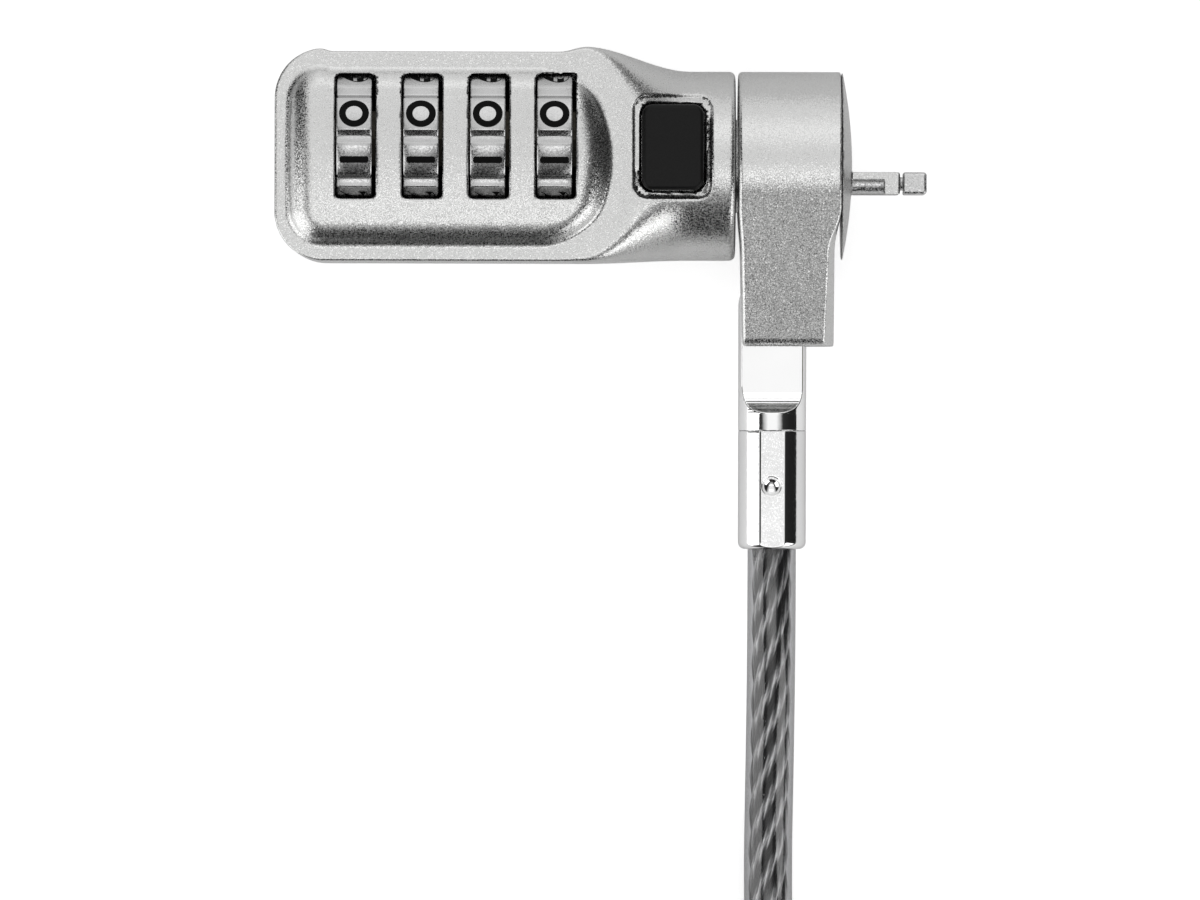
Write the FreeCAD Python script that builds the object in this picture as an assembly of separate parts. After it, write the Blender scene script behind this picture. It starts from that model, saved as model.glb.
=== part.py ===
import FreeCAD, Part
import math
import os

# Laptop cable lock, in millimetres. +X runs from the dial end to the locking tip, +Y across the
# head, away from the leg that holds the cable, +Z from the flat back to the dials. The origin is
# the middle of the back cover's flat face, on which the lock rests.

V = FreeCAD.Vector
ALONG_X = V(1, 0, 0)
ALONG_Y = V(0, 1, 0)
ALONG_Z = V(0, 0, 1)

# Overlap of fused pieces, and how near a point counts as being on a face
bite = 0.1
near = 0.01

# Head: outline, wall and front pad
head_left = -20.1
head_half_width = 11.8
pad_height = 22.6
pad_rise = 2.0
head_corner = 5.5
edge_round = 1.0
back_chamfer = 0.5
shoulder_start = 14.2
shoulder_steps = 4
shoulder_top = 12.05
pad_inset = 1.3
pad_right = 15.0
pad_bulge = 3.3
pad_round = 3.0
pad_sink = 2.2
grip_recess = 0.3
grip_left = -14.4
grip_right = 13.3
wall = 1.7
front_wall = 3.0
end_wall = 0.95
end_shelf = 0.8
bay_corner = 1.5

# Neck, collar and nose share one axis
swivel_y = -1.0
swivel_z = 10.6
neck_radius = 10.55
neck_start = 26.1
neck_end = 31.1
neck_chamfer = 0.7
stem_radius = 5.2
running = 0.1
swivel_gap = 0.25

# Dials and their windows
dial_pitch = 7.4
dial_count = 4
dial_y = 2.0
dial_proud = 1.4
dial_radius = 8.3
dial_width = 3.9
dial_sides = 10
dial_start = 15.0
facet_share = 0.68
groove_depth = 0.55
groove_slope = 0.55
window_width = 4.5
window_length = 13.8
window_corner = 0.5
dial_side_gap = 0.25

# Sleeves and spindle of the combination
sleeve_flat = 4.9
sleeve_bore = 3.3
sleeve_gap = 0.1
web_thickness = 0.8
fin_thickness = 0.8
fin_radius = 3.1
fin_width = 1.1
gate_gap = 0.15
gate_clearance = 0.3
spindle_radius = 1.5
tail_thickness = 1.3
tail_width = 2.4
tail_low = 10.2
tail_high = 12.2
end_bearing = 1.25

# Reset screw and spindle spring
reset_head_radius = 3.6
reset_flange_radius = 4.6
reset_flange = 1.4
reset_gap = 0.2
reset_slot_width = 0.9
reset_slot_depth = 1.2
spindle_spring_radius = 1.6
spindle_spring_wire = 0.35
spindle_spring_turns = 3
spring_sides = 4
spindle_left = -13.6

# Saddle, click spring and cover
cover_thickness = 1.6
cover_right = 17.6
cover_rim = 1.3
cover_corner = 4.0
cover_gap = 0.1
saddle_base = 1.0
saddle_half_width = 6.6
saddle_gap = 0.1
saddle_margin = 0.5
spring_sheet = 0.4
finger_width = 2.6
spine_width = 3.0
finger_root = 1.0
finger_tip = 1.3
click_gap = 0.3
click_screw_radius = 0.7
click_head_radius = 1.3
click_head_height = 0.8
screw_radius = 1.0
screw_head_radius = 1.9
screw_length = 6.0
screw_side = 7.6
boss_radius = 1.6
boss_height = 9.0
boss_inset = 0.2
screw_margin = 0.5
screw_slot_width = 0.5
screw_slot_depth = 0.5

# Push button
button_x = 24.1
button_y = 0.9
button_length = 6.9
button_width = 9.5
button_corner = 1.2
button_top = 21.5
button_cap_height = 2.4
cap_chamfer = 0.4
button_travel = 2.2
pocket_length = 9.4
pocket_width = 12.2
pocket_corner = 1.7
pocket_floor = 16.4
pocket_wall = 1.5
stem_length = 3.8
stem_width = 5.6
slider_bottom = 7.5
slider_gap = 0.2
slider_length = 4.0
slider_low = 4.1
slider_high = 3.3
ramp_foot = 3.3
ramp_lead = 0.8
ramp_over = 0.3
slot_over = 0.3
slot_depth = 2.0
chamber_low = -6.4
chamber_high = 4.4
chamber_bottom = 2.8
chamber_right = 27.4
button_spring_radius = 1.9
button_spring_wire = 0.5
button_spring_turns = 3

# T-bar, crank and guide prongs
tip_y = -2.9
shaft_radius = 1.15
crank_pin_radius = 0.55
crank_thickness = 1.1
crank_rim = 1.0
prong_thickness = 2.5
prong_depth = 3.2
prong_reach = 5.3
prong_step = 3.5
prong_bar = 0.9
hammer_gap = 0.4
hammer_length = 2.6
hammer_thickness = 2.5
hammer_span = 6.4
hammer_round = 0.45

# Collar, leg and nose disc
collar_left = 31.4
collar_right = 42.2
collar_chamfer = 0.5
disc_rim = 0.7
disc_bulge = 1.0
nose_pin_radius = 0.8
nose_pin_side = 3.2
nose_pin_inset = 0.6
nose_gap = 0.2
leg_bottom = -21.1
leg_left = 31.7
leg_right = 42.0
leg_thickness = 10.0
leg_round = 1.2

# Cable fitting, pivot and ferrule
pivot_x = 35.3
pivot_y = -16.7
pivot_radius = 1.5
pivot_depth = 2.2
pivot_inset = 0.9
fitting_radius = 3.8
blade_thickness = 3.4
blade_gap = 0.15
blade_end = -26.2
run_out = 2.4
ferrule_top = -30.5
ferrule_bottom = -43.7
ferrule_chamfer = 0.7
stub_radius = 2.2
stub_length = 5.0
crimp_flat = 0.22
crimp_margin = 0.6
dimple_offset = 0.4
dimple_radius = 1.1
dimple_depth = 0.45

# Cable: the free run to the coil, the coil and the eye
cable_radius = 2.7
cable_sides = 6
lead_route = [
    (35.3, -43.7, 10.6),
    (35.3, -53.7, 10.6),
    (35.2, -67.0, 6.5),
    (35.0, -81.0, 2.7),
    (35.4, -96.5, 2.7),
    (36.0, -111.0, 2.7),
    (36.0, -124.6, 2.7),
]
bend_share = 0.45
coil_inner = 25.0
coil_outer = 37.0
coil_turns_per_layer = 2
coil_layers = 4
coil_layer_pitch = 5.9
climb_turns = 0.5
# The tail over the coil: angle and radius about the coil's middle, share of the rise, slope
tail_route = [
    (-50, 38.2, 0.0, 0.0),
    (-90, 38.8, 0.25, 0.08),
    (-135, 38.6, 0.7, 0.07),
    (-180, 37.5, 1.0, 0.0),
]
eye_angle = 113.0
eye_reach = 20.6
eye_rise = 6.5
eye_radius = 17.0
eye_length = 29.0
eye_pitch = 5.9
eye_sleeve_length = 14.0
eye_sleeve_wall = 0.8
bore_gap = 0.05

head_height = pad_height - pad_rise
dial_z = pad_height + dial_proud - dial_radius
ceiling = pad_height - front_wall
cavity_left = head_left + wall + end_shelf
cavity_low = -head_half_width + wall
cavity_high = dial_y + dial_radius + dial_side_gap
dial_centres = [(i - (dial_count - 1) / 2) * dial_pitch for i in range(dial_count)]
pocket_half = window_width / 2
bearing_radius = sleeve_flat / math.cos(math.pi / dial_sides) + running
cavity_right = dial_centres[-1] + pocket_half + end_wall
sleeve_end = dial_centres[-1] + (dial_pitch - sleeve_gap) / 2
slider_right = button_x + stem_length / 2 - running
slider_left = slider_right - slider_length
crank_radius = button_travel / math.sqrt(2)


def box(x0, x1, y0, y1, z0, z1):
    """A block between two corners."""
    return Part.makeBox(x1 - x0, y1 - y0, z1 - z0, V(x0, y0, z0))


def rod(radius, start, direction, length):
    """A round bar from a point along a direction."""
    return Part.makeCylinder(radius, length, start, direction)


def prism(points, lift):
    """A closed outline through points, lifted along a vector."""
    return Part.Face(Part.makePolygon(points + points[:1])).extrude(lift)


def rounded_outline(u0, u1, v0, v1, corner, place):
    """A rectangle with round corners; place turns (u, v) into a point in space."""
    turn = corner * (1 - math.sqrt(0.5))

    def line(a, b):
        return Part.makeLine(place(*a), place(*b))

    def bend(a, b, c):
        return Part.Arc(place(*a), place(*b), place(*c)).toShape()

    lines = [
        line((u0 + corner, v0), (u1 - corner, v0)),
        bend((u1 - corner, v0), (u1 - turn, v0 + turn), (u1, v0 + corner)),
        line((u1, v0 + corner), (u1, v1 - corner)),
        bend((u1, v1 - corner), (u1 - turn, v1 - turn), (u1 - corner, v1)),
        line((u1 - corner, v1), (u0 + corner, v1)),
        bend((u0 + corner, v1), (u0 + turn, v1 - turn), (u0, v1 - corner)),
        line((u0, v1 - corner), (u0, v0 + corner)),
        bend((u0, v0 + corner), (u0 + turn, v0 + turn), (u0 + corner, v0)),
    ]
    return Part.Wire(lines)


def rounded_block(x0, x1, y0, y1, z0, z1, corner):
    """A block whose upright edges are round."""
    outline = rounded_outline(x0, x1, y0, y1, corner, lambda u, v: V(u, v, z0))
    return Part.Face(outline).extrude(V(0, 0, z1 - z0))


def fuse(shapes):
    """One solid from several that touch."""
    whole = shapes[0]
    for shape in shapes[1:]:
        whole = whole.fuse(shape)
    return whole.removeSplitter()


def cut(shape, tools):
    """A shape less several others."""
    for tool in tools:
        shape = shape.cut(tool)
    return shape


def edges_at(shape, test):
    """The edges whose every end and middle meets a test on the point."""
    found = []
    for edge in shape.Edges:
        middle = edge.valueAt((edge.FirstParameter + edge.LastParameter) / 2)
        if all(test(p) for p in [v.Point for v in edge.Vertexes] + [middle]):
            found.append(edge)
    return found


def smooth(t):
    """An S-shaped rise from 0 to 1."""
    return t * t * (3 - 2 * t)


def blend(a, b, t):
    """The value a share t of the way from a to b."""
    return a + (b - a) * t


def head_block():
    """The head's block behind the pad, with its grip recess on the long edge."""
    block = rounded_block(head_left, shoulder_start + head_corner, -head_half_width,
                          head_half_width, 0, head_height, head_corner)
    front = edges_at(block, lambda p: abs(p.z - head_height) < near)
    block = block.makeFillet(edge_round, front)
    back = edges_at(block, lambda p: abs(p.z) < near)
    block = block.makeChamfer(back_chamfer, back)
    trim = box(shoulder_start, shoulder_start + 2 * head_corner, -head_half_width - 1,
               head_half_width + 1, -1, head_height + 1)
    grip = box(grip_left, grip_right, head_half_width - grip_recess, head_half_width + 1,
               -1, head_height + 1)
    return cut(block, [trim, grip])


def shoulder_section(share):
    """The outline across the shoulder, a share of the way from the head to the round neck."""
    s = smooth(share)
    x = blend(shoulder_start, neck_start, share)
    low = blend(-head_half_width, swivel_y - neck_radius, s)
    high = blend(shoulder_top, swivel_y + neck_radius, s)
    bottom = blend(0, swivel_z - neck_radius, s)
    top = blend(head_height, swivel_z + neck_radius, s)
    corner = blend(edge_round, neck_radius - bite, s)
    return rounded_outline(low, high, bottom, top, corner, lambda u, v: V(x, u, v))


def shoulder():
    """The shoulder, lofted from the head's section to the neck's circle, and the neck."""
    sections = [shoulder_section(i / shoulder_steps) for i in range(shoulder_steps + 1)]
    loft = Part.makeLoft(sections, True, True)
    neck = rod(neck_radius, V(neck_start - near, swivel_y, swivel_z), ALONG_X,
               neck_end - neck_start + near)
    end = edges_at(neck, lambda p: p.x > neck_end - near)
    return loft.fuse(neck.makeChamfer(neck_chamfer, end))


def pad():
    """The raised front pad, with a bowed right end and a broad round along its rim."""
    left = head_left + pad_inset
    half = head_half_width - pad_inset
    corner = head_corner - pad_inset
    turn = corner * (1 - math.sqrt(0.5))
    z = head_height - pad_sink
    lines = [
        Part.makeLine(V(left + corner, -half, z), V(pad_right, -half, z)),
        Part.Arc(V(pad_right, -half, z), V(pad_right + pad_bulge, swivel_y / 2, z),
                 V(pad_right, half, z)).toShape(),
        Part.makeLine(V(pad_right, half, z), V(left + corner, half, z)),
        Part.Arc(V(left + corner, half, z), V(left + turn, half - turn, z),
                 V(left, half - corner, z)).toShape(),
        Part.makeLine(V(left, half - corner, z), V(left, corner - half, z)),
        Part.Arc(V(left, corner - half, z), V(left + turn, turn - half, z),
                 V(left + corner, -half, z)).toShape(),
    ]
    block = Part.Face(Part.Wire(lines)).extrude(V(0, 0, pad_height - z))
    rim = edges_at(block, lambda p: abs(p.z - pad_height) < near)
    return block.makeFillet(pad_round, rim)


def partition_spans():
    """The stretches along X of the walls that carry the dial sleeves."""
    spans = [(dial_centres[0] - pocket_half - end_bearing, dial_centres[0] - pocket_half)]
    for left, right in zip(dial_centres, dial_centres[1:]):
        spans.append((left + pocket_half, right - pocket_half))
    spans.append((dial_centres[-1] + pocket_half, cavity_right))
    return spans


def screw_places():
    """The middles of the two cover screws, at opposite corners."""
    left = cavity_left + boss_radius - boss_inset
    right = cover_right - screw_head_radius - screw_margin
    return [(left, -screw_side), (right, screw_side)]


def front_housing():
    """The cast shell: dial bay, bearing walls, windows, button pocket and neck bore."""
    shell = fuse([head_block(), shoulder(), pad()])
    bay = rounded_block(cavity_left, cavity_right, cavity_low, cavity_high, cover_thickness / 2,
                        ceiling, bay_corner)
    walls = [box(a, b, cavity_low, cavity_high, dial_z + saddle_gap / 2, ceiling)
             for a, b in partition_spans()]
    x, y = screw_places()[0]
    boss = rod(boss_radius, V(x, y, cover_thickness), ALONG_Z, boss_height)
    bay = cut(bay, walls + [boss])
    bearing = rod(bearing_radius, V(cavity_left, dial_y, dial_z), ALONG_X,
                  sleeve_end + running - cavity_left)
    chamber = box(cavity_right, chamber_right, chamber_low, chamber_high, chamber_bottom,
                  pocket_floor - pocket_wall)
    pocket_left = button_x - pocket_length / 2
    tunnel = box(cavity_right, pocket_left - end_shelf, dial_y - spindle_radius - 2 * running,
                 dial_y + spindle_radius + 2 * running, dial_z - spindle_radius - 1,
                 dial_z + spindle_radius + 2 * running)
    pocket = rounded_block(pocket_left, button_x + pocket_length / 2,
                           button_y - pocket_width / 2, button_y + pocket_width / 2,
                           pocket_floor, pad_height + 1, pocket_corner)
    stem_hole = box(button_x - stem_length / 2 - running, button_x + stem_length / 2 + running,
                    button_y - stem_width / 2 - running, button_y + stem_width / 2 + running,
                    chamber_bottom + 1, pad_height)
    neck_bore = rod(stem_radius, V(chamber_right - near, swivel_y, swivel_z), ALONG_X,
                    neck_end - chamber_right + 1)
    reset_bore = rod(reset_head_radius + running, V(head_left - 1, dial_y, dial_z), ALONG_X,
                     wall + 3)
    rebate = cover_outline(0, -1, cover_thickness)
    windows = [rounded_block(c - window_width / 2, c + window_width / 2,
                             dial_y - window_length / 2, dial_y + window_length / 2,
                             ceiling - 1, pad_height + 1, window_corner) for c in dial_centres]
    rooms = [rod(dial_radius + dial_side_gap, V(c - window_width / 2, dial_y, dial_z), ALONG_X,
                 window_width) for c in dial_centres]
    screws = [rod(screw_radius, V(x, y, -1), ALONG_Z, screw_length + 2)
              for x, y in screw_places()]
    pin = nose_pin_bar(-1)
    shell = cut(shell, [bay, bearing, chamber, tunnel, pocket, stem_hole, neck_bore, reset_bore,
                        rebate, pin] + windows + rooms + screws)
    return shell.removeSplitter()


def cover_outline(inset, z0, z1):
    """The space of the rebate in the back, or of the cover that fills it, drawn in a little."""
    half = head_half_width - cover_rim - inset
    return rounded_block(head_left + cover_rim + inset, cover_right - inset, -half, half, z0, z1,
                         cover_corner - inset)


def screw(x, y):
    """A countersunk slotted screw, its head flush with the back."""
    head = Part.makeCone(screw_head_radius, screw_radius, screw_head_radius - screw_radius,
                         V(x, y, 0), ALONG_Z)
    shank = rod(screw_radius, V(x, y, 0), ALONG_Z, screw_length)
    slot = box(x - screw_slot_width / 2, x + screw_slot_width / 2, y - screw_head_radius - 1,
               y + screw_head_radius + 1, -1, screw_slot_depth)
    return head.fuse(shank).cut(slot)


def back_cover():
    """The flat plate let into the back."""
    plate = cover_outline(cover_gap, 0, cover_thickness)
    heads = [Part.makeCone(screw_head_radius, screw_radius, screw_head_radius - screw_radius,
                           V(x, y, 0), ALONG_Z) for x, y in screw_places()]
    holes = [rod(screw_radius, V(x, y, -1), ALONG_Z, cover_thickness + 2)
             for x, y in screw_places()]
    return cut(plate, heads + holes)


def dial_saddle():
    """A base with one half-bearing rib under each wall of the dial bay."""
    base = box(partition_spans()[0][0] + saddle_gap, cavity_right - saddle_margin,
               cavity_low + saddle_margin, dial_y + saddle_half_width, cover_thickness,
               cover_thickness + saddle_base)
    ribs = [box(a + saddle_gap, b - saddle_gap, dial_y - saddle_half_width,
                dial_y + saddle_half_width, cover_thickness, dial_z - saddle_gap / 2)
            for a, b in partition_spans()]
    bearing = rod(bearing_radius, V(cavity_left, dial_y, dial_z), ALONG_X,
                  cavity_right - cavity_left + 1)
    holes = [rod(click_screw_radius, V(x, y, 0), ALONG_Z, dial_z)
             for x, y in click_screw_places()]
    return cut(fuse([base] + ribs), [bearing] + holes)


def click_screw_places():
    """The middles of the comb's two screws, between the outer pairs of fingers."""
    y = cavity_low + saddle_margin + spine_width / 2
    return [(-dial_pitch, y), (dial_pitch, y)]


def click_spring():
    """A comb of sheet fingers that rise from one spine to the foot of each dial."""
    low = cover_thickness + saddle_base
    tip = dial_z - dial_radius - click_gap
    y0 = cavity_low + saddle_margin
    y1 = y0 + spine_width
    spine = box(dial_centres[0] - finger_width / 2, dial_centres[-1] + finger_width / 2,
                y0, y1, low, low + spring_sheet)
    fingers = []
    for c in dial_centres:
        x = c - finger_width / 2
        bend = dial_y - finger_tip
        path = [V(x, y1 - finger_root, low), V(x, y1 + finger_root, low),
                V(x, bend, tip - spring_sheet), V(x, dial_y + finger_tip, tip - spring_sheet),
                V(x, dial_y + finger_tip, tip), V(x, bend - spring_sheet / 2, tip),
                V(x, y1 + finger_root - spring_sheet / 2, low + spring_sheet),
                V(x, y1 - finger_root, low + spring_sheet)]
        fingers.append(prism(path, V(finger_width, 0, 0)))
    holes = [rod(click_screw_radius, V(x, y, 0), ALONG_Z, dial_z)
             for x, y in click_screw_places()]
    return cut(fuse([spine] + fingers), holes)


def click_screws():
    """The comb's two cheese-head screws."""
    seat = cover_thickness + saddle_base + spring_sheet
    screws = []
    for x, y in click_screw_places():
        head = rod(click_head_radius, V(x, y, seat), ALONG_Z, click_head_height)
        shank = rod(click_screw_radius, V(x, y, cover_thickness), ALONG_Z,
                    seat - cover_thickness + bite)
        screws.append(head.fuse(shank))
    return Part.makeCompound(screws)


def dial(centre):
    """A dial: ten flat facets with a flat-bottomed groove between each pair."""
    step = 360 / dial_sides
    half = step * facet_share / 2
    corners = []
    for i in range(dial_sides):
        middle = dial_start + i * step
        dip = (step / 2 - half) * groove_slope
        for angle, radius in [(-half, dial_radius), (half, dial_radius),
                              (half + dip, dial_radius - groove_depth),
                              (step - half - dip, dial_radius - groove_depth)]:
            a = math.radians(middle + angle)
            corners.append(V(centre - dial_width / 2, dial_y + radius * math.sin(a),
                             dial_z + radius * math.cos(a)))
    ring = prism(corners, V(dial_width, 0, 0))
    return ring.cut(clutch(centre, sleeve_flat + bore_gap, dial_width + 1))


def clutch(centre, flat, length):
    """The ten-sided bar by which a sleeve turns its dial."""
    corners = []
    for i in range(dial_sides):
        a = math.radians(dial_start + (i + 0.5) * 360 / dial_sides)
        radius = flat / math.cos(math.pi / dial_sides)
        corners.append(V(centre - length / 2, dial_y + radius * math.sin(a),
                         dial_z + radius * math.cos(a)))
    return prism(corners, V(length, 0, 0))


def dial_sleeve(centre):
    """A ten-sided clutch sleeve, with an inner web that has one gate."""
    length = dial_pitch - sleeve_gap
    left = centre - length / 2
    outer = clutch(centre, sleeve_flat, length)
    web_left = centre - web_thickness / 2
    left_bore = rod(sleeve_bore, V(left - 1, dial_y, dial_z), ALONG_X, web_left - left + 1)
    right_bore = rod(sleeve_bore, V(web_left + web_thickness, dial_y, dial_z), ALONG_X, length)
    spindle_bore = rod(spindle_radius + running, V(left, dial_y, dial_z), ALONG_X, length)
    gate_half = fin_width / 2 + gate_gap
    gate = box(web_left - bite, web_left + web_thickness + bite, dial_y - gate_half,
               dial_y + gate_half, dial_z, dial_z + fin_radius + gate_gap)
    return cut(outer, [left_bore, right_bore, spindle_bore, gate])


def spindle():
    """The rod with a fin behind each gate, and the tail whose end meets the slider's ramp."""
    tail_left = sleeve_end + 2 * running
    tail_right = tail_left + tail_thickness
    bar = rod(spindle_radius, V(spindle_left, dial_y, dial_z), ALONG_X, tail_right - spindle_left)
    pieces = [bar]
    for c in dial_centres:
        right = c - web_thickness / 2 - gate_clearance
        pieces.append(box(right - fin_thickness, right, dial_y - fin_width / 2,
                          dial_y + fin_width / 2, dial_z, dial_z + fin_radius))
    half = tail_width / 2
    pieces.append(box(tail_left, tail_right, dial_y - half, dial_y + half, tail_low, dial_z))
    ends = [V(tail_left, dial_y - half, tail_low),
            V(ramp_x(tail_low) - running, dial_y - half, tail_low),
            V(ramp_x(tail_high) - running, dial_y - half, tail_high),
            V(tail_left, dial_y - half, tail_high)]
    pieces.append(prism(ends, V(0, tail_width, 0)))
    return fuse(pieces)


def ramp_x(z):
    """Where the slider's 45 degree ramp lies at a height, with the button out."""
    return slider_left - ramp_foot + (z - tail_low + ramp_lead)


def button_slider():
    """The block under the cap: a ramp for the spindle's tail and a slot for the crank pin."""
    top = pocket_floor - pocket_wall - slider_gap
    low_y = button_y - slider_low
    high_y = button_y + slider_high
    block = box(slider_left, slider_right, low_y, high_y, slider_bottom, top)
    stem = box(button_x - stem_length / 2, button_x + stem_length / 2,
               button_y - stem_width / 2, button_y + stem_width / 2, top - near,
               button_top - button_cap_height / 2)
    half = tail_width / 2 + running
    foot = box(ramp_x(tail_low - ramp_lead), slider_left, dial_y - half, dial_y + half, slider_bottom,
               tail_high + 1)
    z0 = tail_low - ramp_lead
    z1 = tail_high + button_travel + ramp_over
    space = [V(ramp_x(z0) - ramp_foot, dial_y - half, z0), V(ramp_x(z0), dial_y - half, z0),
             V(ramp_x(z1), dial_y - half, z1), V(ramp_x(z0) - ramp_foot, dial_y - half, z1)]
    space = prism(space, V(0, 2 * half, 0))
    pin_z = swivel_z + button_travel / 2
    slot_half = crank_pin_radius + running
    nearest = tip_y + crank_radius * math.cos(math.pi / 4) - crank_pin_radius - slot_over
    furthest = tip_y + crank_radius + crank_pin_radius + slot_over
    slot = box(slider_right - slot_depth, slider_right + 1, nearest, furthest, pin_z - slot_half,
               pin_z + slot_half)
    return cut(fuse([block, stem, foot]), [space, slot])


def button_cap():
    """The cap, with a hollow that sits on the slider's stem."""
    low = button_top - button_cap_height
    cap = rounded_block(button_x - button_length / 2, button_x + button_length / 2,
                        button_y - button_width / 2, button_y + button_width / 2, low, button_top,
                        button_corner)
    rim = edges_at(cap, lambda p: abs(p.z - button_top) < near)
    cap = cap.makeChamfer(cap_chamfer, rim)
    hollow = box(button_x - stem_length / 2, button_x + stem_length / 2,
                 button_y - stem_width / 2, button_y + stem_width / 2, low - 1,
                 button_top - button_cap_height / 2)
    return cap.cut(hollow)


def t_bar():
    """The shaft and its hammer head, which enters a slot edge-on and is then turned."""
    left = slider_right + slider_gap
    head_at = nose_face() + prong_reach + hammer_gap
    shaft = rod(shaft_radius, V(left, tip_y, swivel_z), ALONG_X,
                head_at - left + bite)
    outline = rounded_outline(tip_y - hammer_thickness / 2, tip_y + hammer_thickness / 2,
                              swivel_z - hammer_span / 2, swivel_z + hammer_span / 2,
                              hammer_round, lambda u, v: V(head_at, u, v))
    hammer = Part.Face(outline).extrude(V(hammer_length, 0, 0))
    tip = edges_at(hammer, lambda p: p.x > head_at + hammer_length - near)
    hammer = hammer.makeChamfer(hammer_round / 2, tip)
    return fuse([shaft, hammer])


def t_bar_crank():
    """The crank disc on the shaft's inner end, with its pin in the slider's slot."""
    left = slider_right + slider_gap
    disc = rod(crank_radius + crank_rim, V(left, tip_y, swivel_z), ALONG_X, crank_thickness)
    side = crank_radius * math.cos(math.pi / 4)
    pin_left = slider_right - slot_depth + slot_over
    pin = rod(crank_pin_radius, V(pin_left, tip_y + side, swivel_z + side), ALONG_X,
              left - pin_left + bite)
    bore = rod(shaft_radius, V(left - near, tip_y, swivel_z), ALONG_X, crank_thickness + 1)
    return fuse([disc, pin]).cut(bore)


def nose_face():
    """Where the nose's dome has its highest point."""
    return collar_right + swivel_gap + disc_rim + disc_bulge


def nose():
    """The bearing stem, the domed disc that keeps the collar on, and the two guide prongs."""
    left = chamber_right + nose_gap
    disc_left = collar_right + swivel_gap
    rim = disc_left + disc_rim
    stem = rod(stem_radius, V(left, swivel_y, swivel_z), ALONG_X,
               disc_left - left + bite)
    sphere_radius = (neck_radius ** 2 + disc_bulge ** 2) / (2 * disc_bulge)
    disc = rod(neck_radius, V(disc_left, swivel_y, swivel_z), ALONG_X, 2)
    ball = Part.makeSphere(sphere_radius, V(rim + disc_bulge - sphere_radius, swivel_y, swivel_z))
    disc = disc.common(ball)
    face = nose_face()
    end = face + prong_reach
    shaft_room = shaft_radius + running
    front = box(rim, end, tip_y - prong_thickness / 2, tip_y + prong_thickness / 2, swivel_z,
                swivel_z + prong_depth)
    back = box(rim, end, tip_y - prong_thickness / 2, tip_y + prong_thickness / 2,
               swivel_z - prong_depth, swivel_z)
    window = box(face, face + prong_step, tip_y - prong_thickness,
                 tip_y + prong_thickness / 2 - prong_bar, swivel_z, swivel_z + prong_depth + 1)
    channel = box(face - bite, end + 1, tip_y - prong_thickness, tip_y + prong_thickness,
                  swivel_z - shaft_room, swivel_z + shaft_room)
    bore = rod(shaft_room, V(left - 1, tip_y, swivel_z), ALONG_X, end - left + 2)
    body = fuse([stem, disc, front, back])
    return cut(body, [window, channel, bore, nose_pin_bar(0)])


def nose_pin_bar(start):
    """A bar through the nose's stem from a height behind it to just under the button's pocket."""
    x = (chamber_right + neck_end) / 2
    end = pocket_floor - nose_pin_inset
    return rod(nose_pin_radius, V(x, swivel_y + nose_pin_side, start), ALONG_Z, end - start)


def nose_pin():
    """The cross pin that holds the nose in the neck, its end a little below the neck's back."""
    side = nose_pin_side + nose_pin_radius
    back = swivel_z - math.sqrt(neck_radius ** 2 - side ** 2)
    return nose_pin_bar(back + nose_pin_inset)


def leg_outline():
    """The leg's sides: tangents to the collar's circle down to the narrow foot."""
    foot_y = leg_bottom - swivel_y
    foot_z = leg_thickness / 2
    reach = math.hypot(foot_y, foot_z)
    angle = math.atan2(foot_z, foot_y) - math.acos(neck_radius / reach)
    touch_y = swivel_y + neck_radius * math.cos(angle)
    touch_z = neck_radius * math.sin(angle)
    return touch_y, touch_z, foot_z


def collar():
    """The swivelling collar and its leg, slotted for the fitting on the left and below."""
    barrel = rod(neck_radius, V(collar_left, swivel_y, swivel_z), ALONG_X,
                 collar_right - collar_left)
    ends = edges_at(barrel, lambda p: p.x < collar_left + near)
    barrel = barrel.makeChamfer(collar_chamfer, ends)
    touch_y, touch_z, foot_z = leg_outline()
    sides = [V(leg_left, touch_y, swivel_z + touch_z), V(leg_left, leg_bottom, swivel_z + foot_z),
             V(leg_left, leg_bottom, swivel_z - foot_z), V(leg_left, touch_y, swivel_z - touch_z)]
    leg = prism(sides, V(leg_right - leg_left, 0, 0))
    foot = edges_at(leg, lambda p: p.y < leg_bottom + near)
    leg = leg.makeFillet(leg_round, [e for e in foot if e.Length > leg_thickness + bite
                                     or abs(e.Length - (leg_right - leg_left)) < near])
    body = fuse([barrel, leg])
    bore = rod(stem_radius + running, V(collar_left - 1, swivel_y, swivel_z), ALONG_X,
               collar_right - collar_left + 2)
    room = fitting_radius + blade_gap
    slot_low = swivel_z - blade_thickness / 2 - blade_gap
    slot_high = swivel_z + blade_thickness / 2 + blade_gap
    crown = rod(room, V(pivot_x, pivot_y, slot_low), ALONG_Z, slot_high - slot_low)
    past = leg_left - 1
    slot = box(past, pivot_x + room, leg_bottom - 1, pivot_y, slot_low, slot_high)
    side = box(past, pivot_x, pivot_y - 1, pivot_y + room, slot_low, slot_high)
    hole = pivot_hole(pivot_radius)
    return cut(body, [bore, crown, slot, side, hole]).removeSplitter()


def pivot_hole(radius):
    """The pin's space: through the back ear and the slot, blind in the front ear."""
    front = swivel_z + blade_thickness / 2 + blade_gap + pivot_depth
    return rod(radius, V(pivot_x, pivot_y, swivel_z - leg_thickness), ALONG_Z,
               front - swivel_z + leg_thickness)


def pivot_pin():
    """The pin on which the fitting folds, flush with the back ear."""
    touch_y, touch_z, foot_z = leg_outline()
    share = (pivot_y + pivot_radius - leg_bottom) / (touch_y - leg_bottom)
    back = swivel_z - blend(foot_z, touch_z, share) + pivot_inset
    front = swivel_z + blade_thickness / 2 + blade_gap + pivot_depth
    return rod(pivot_radius, V(pivot_x, pivot_y, back), ALONG_Z, front - back)


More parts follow.
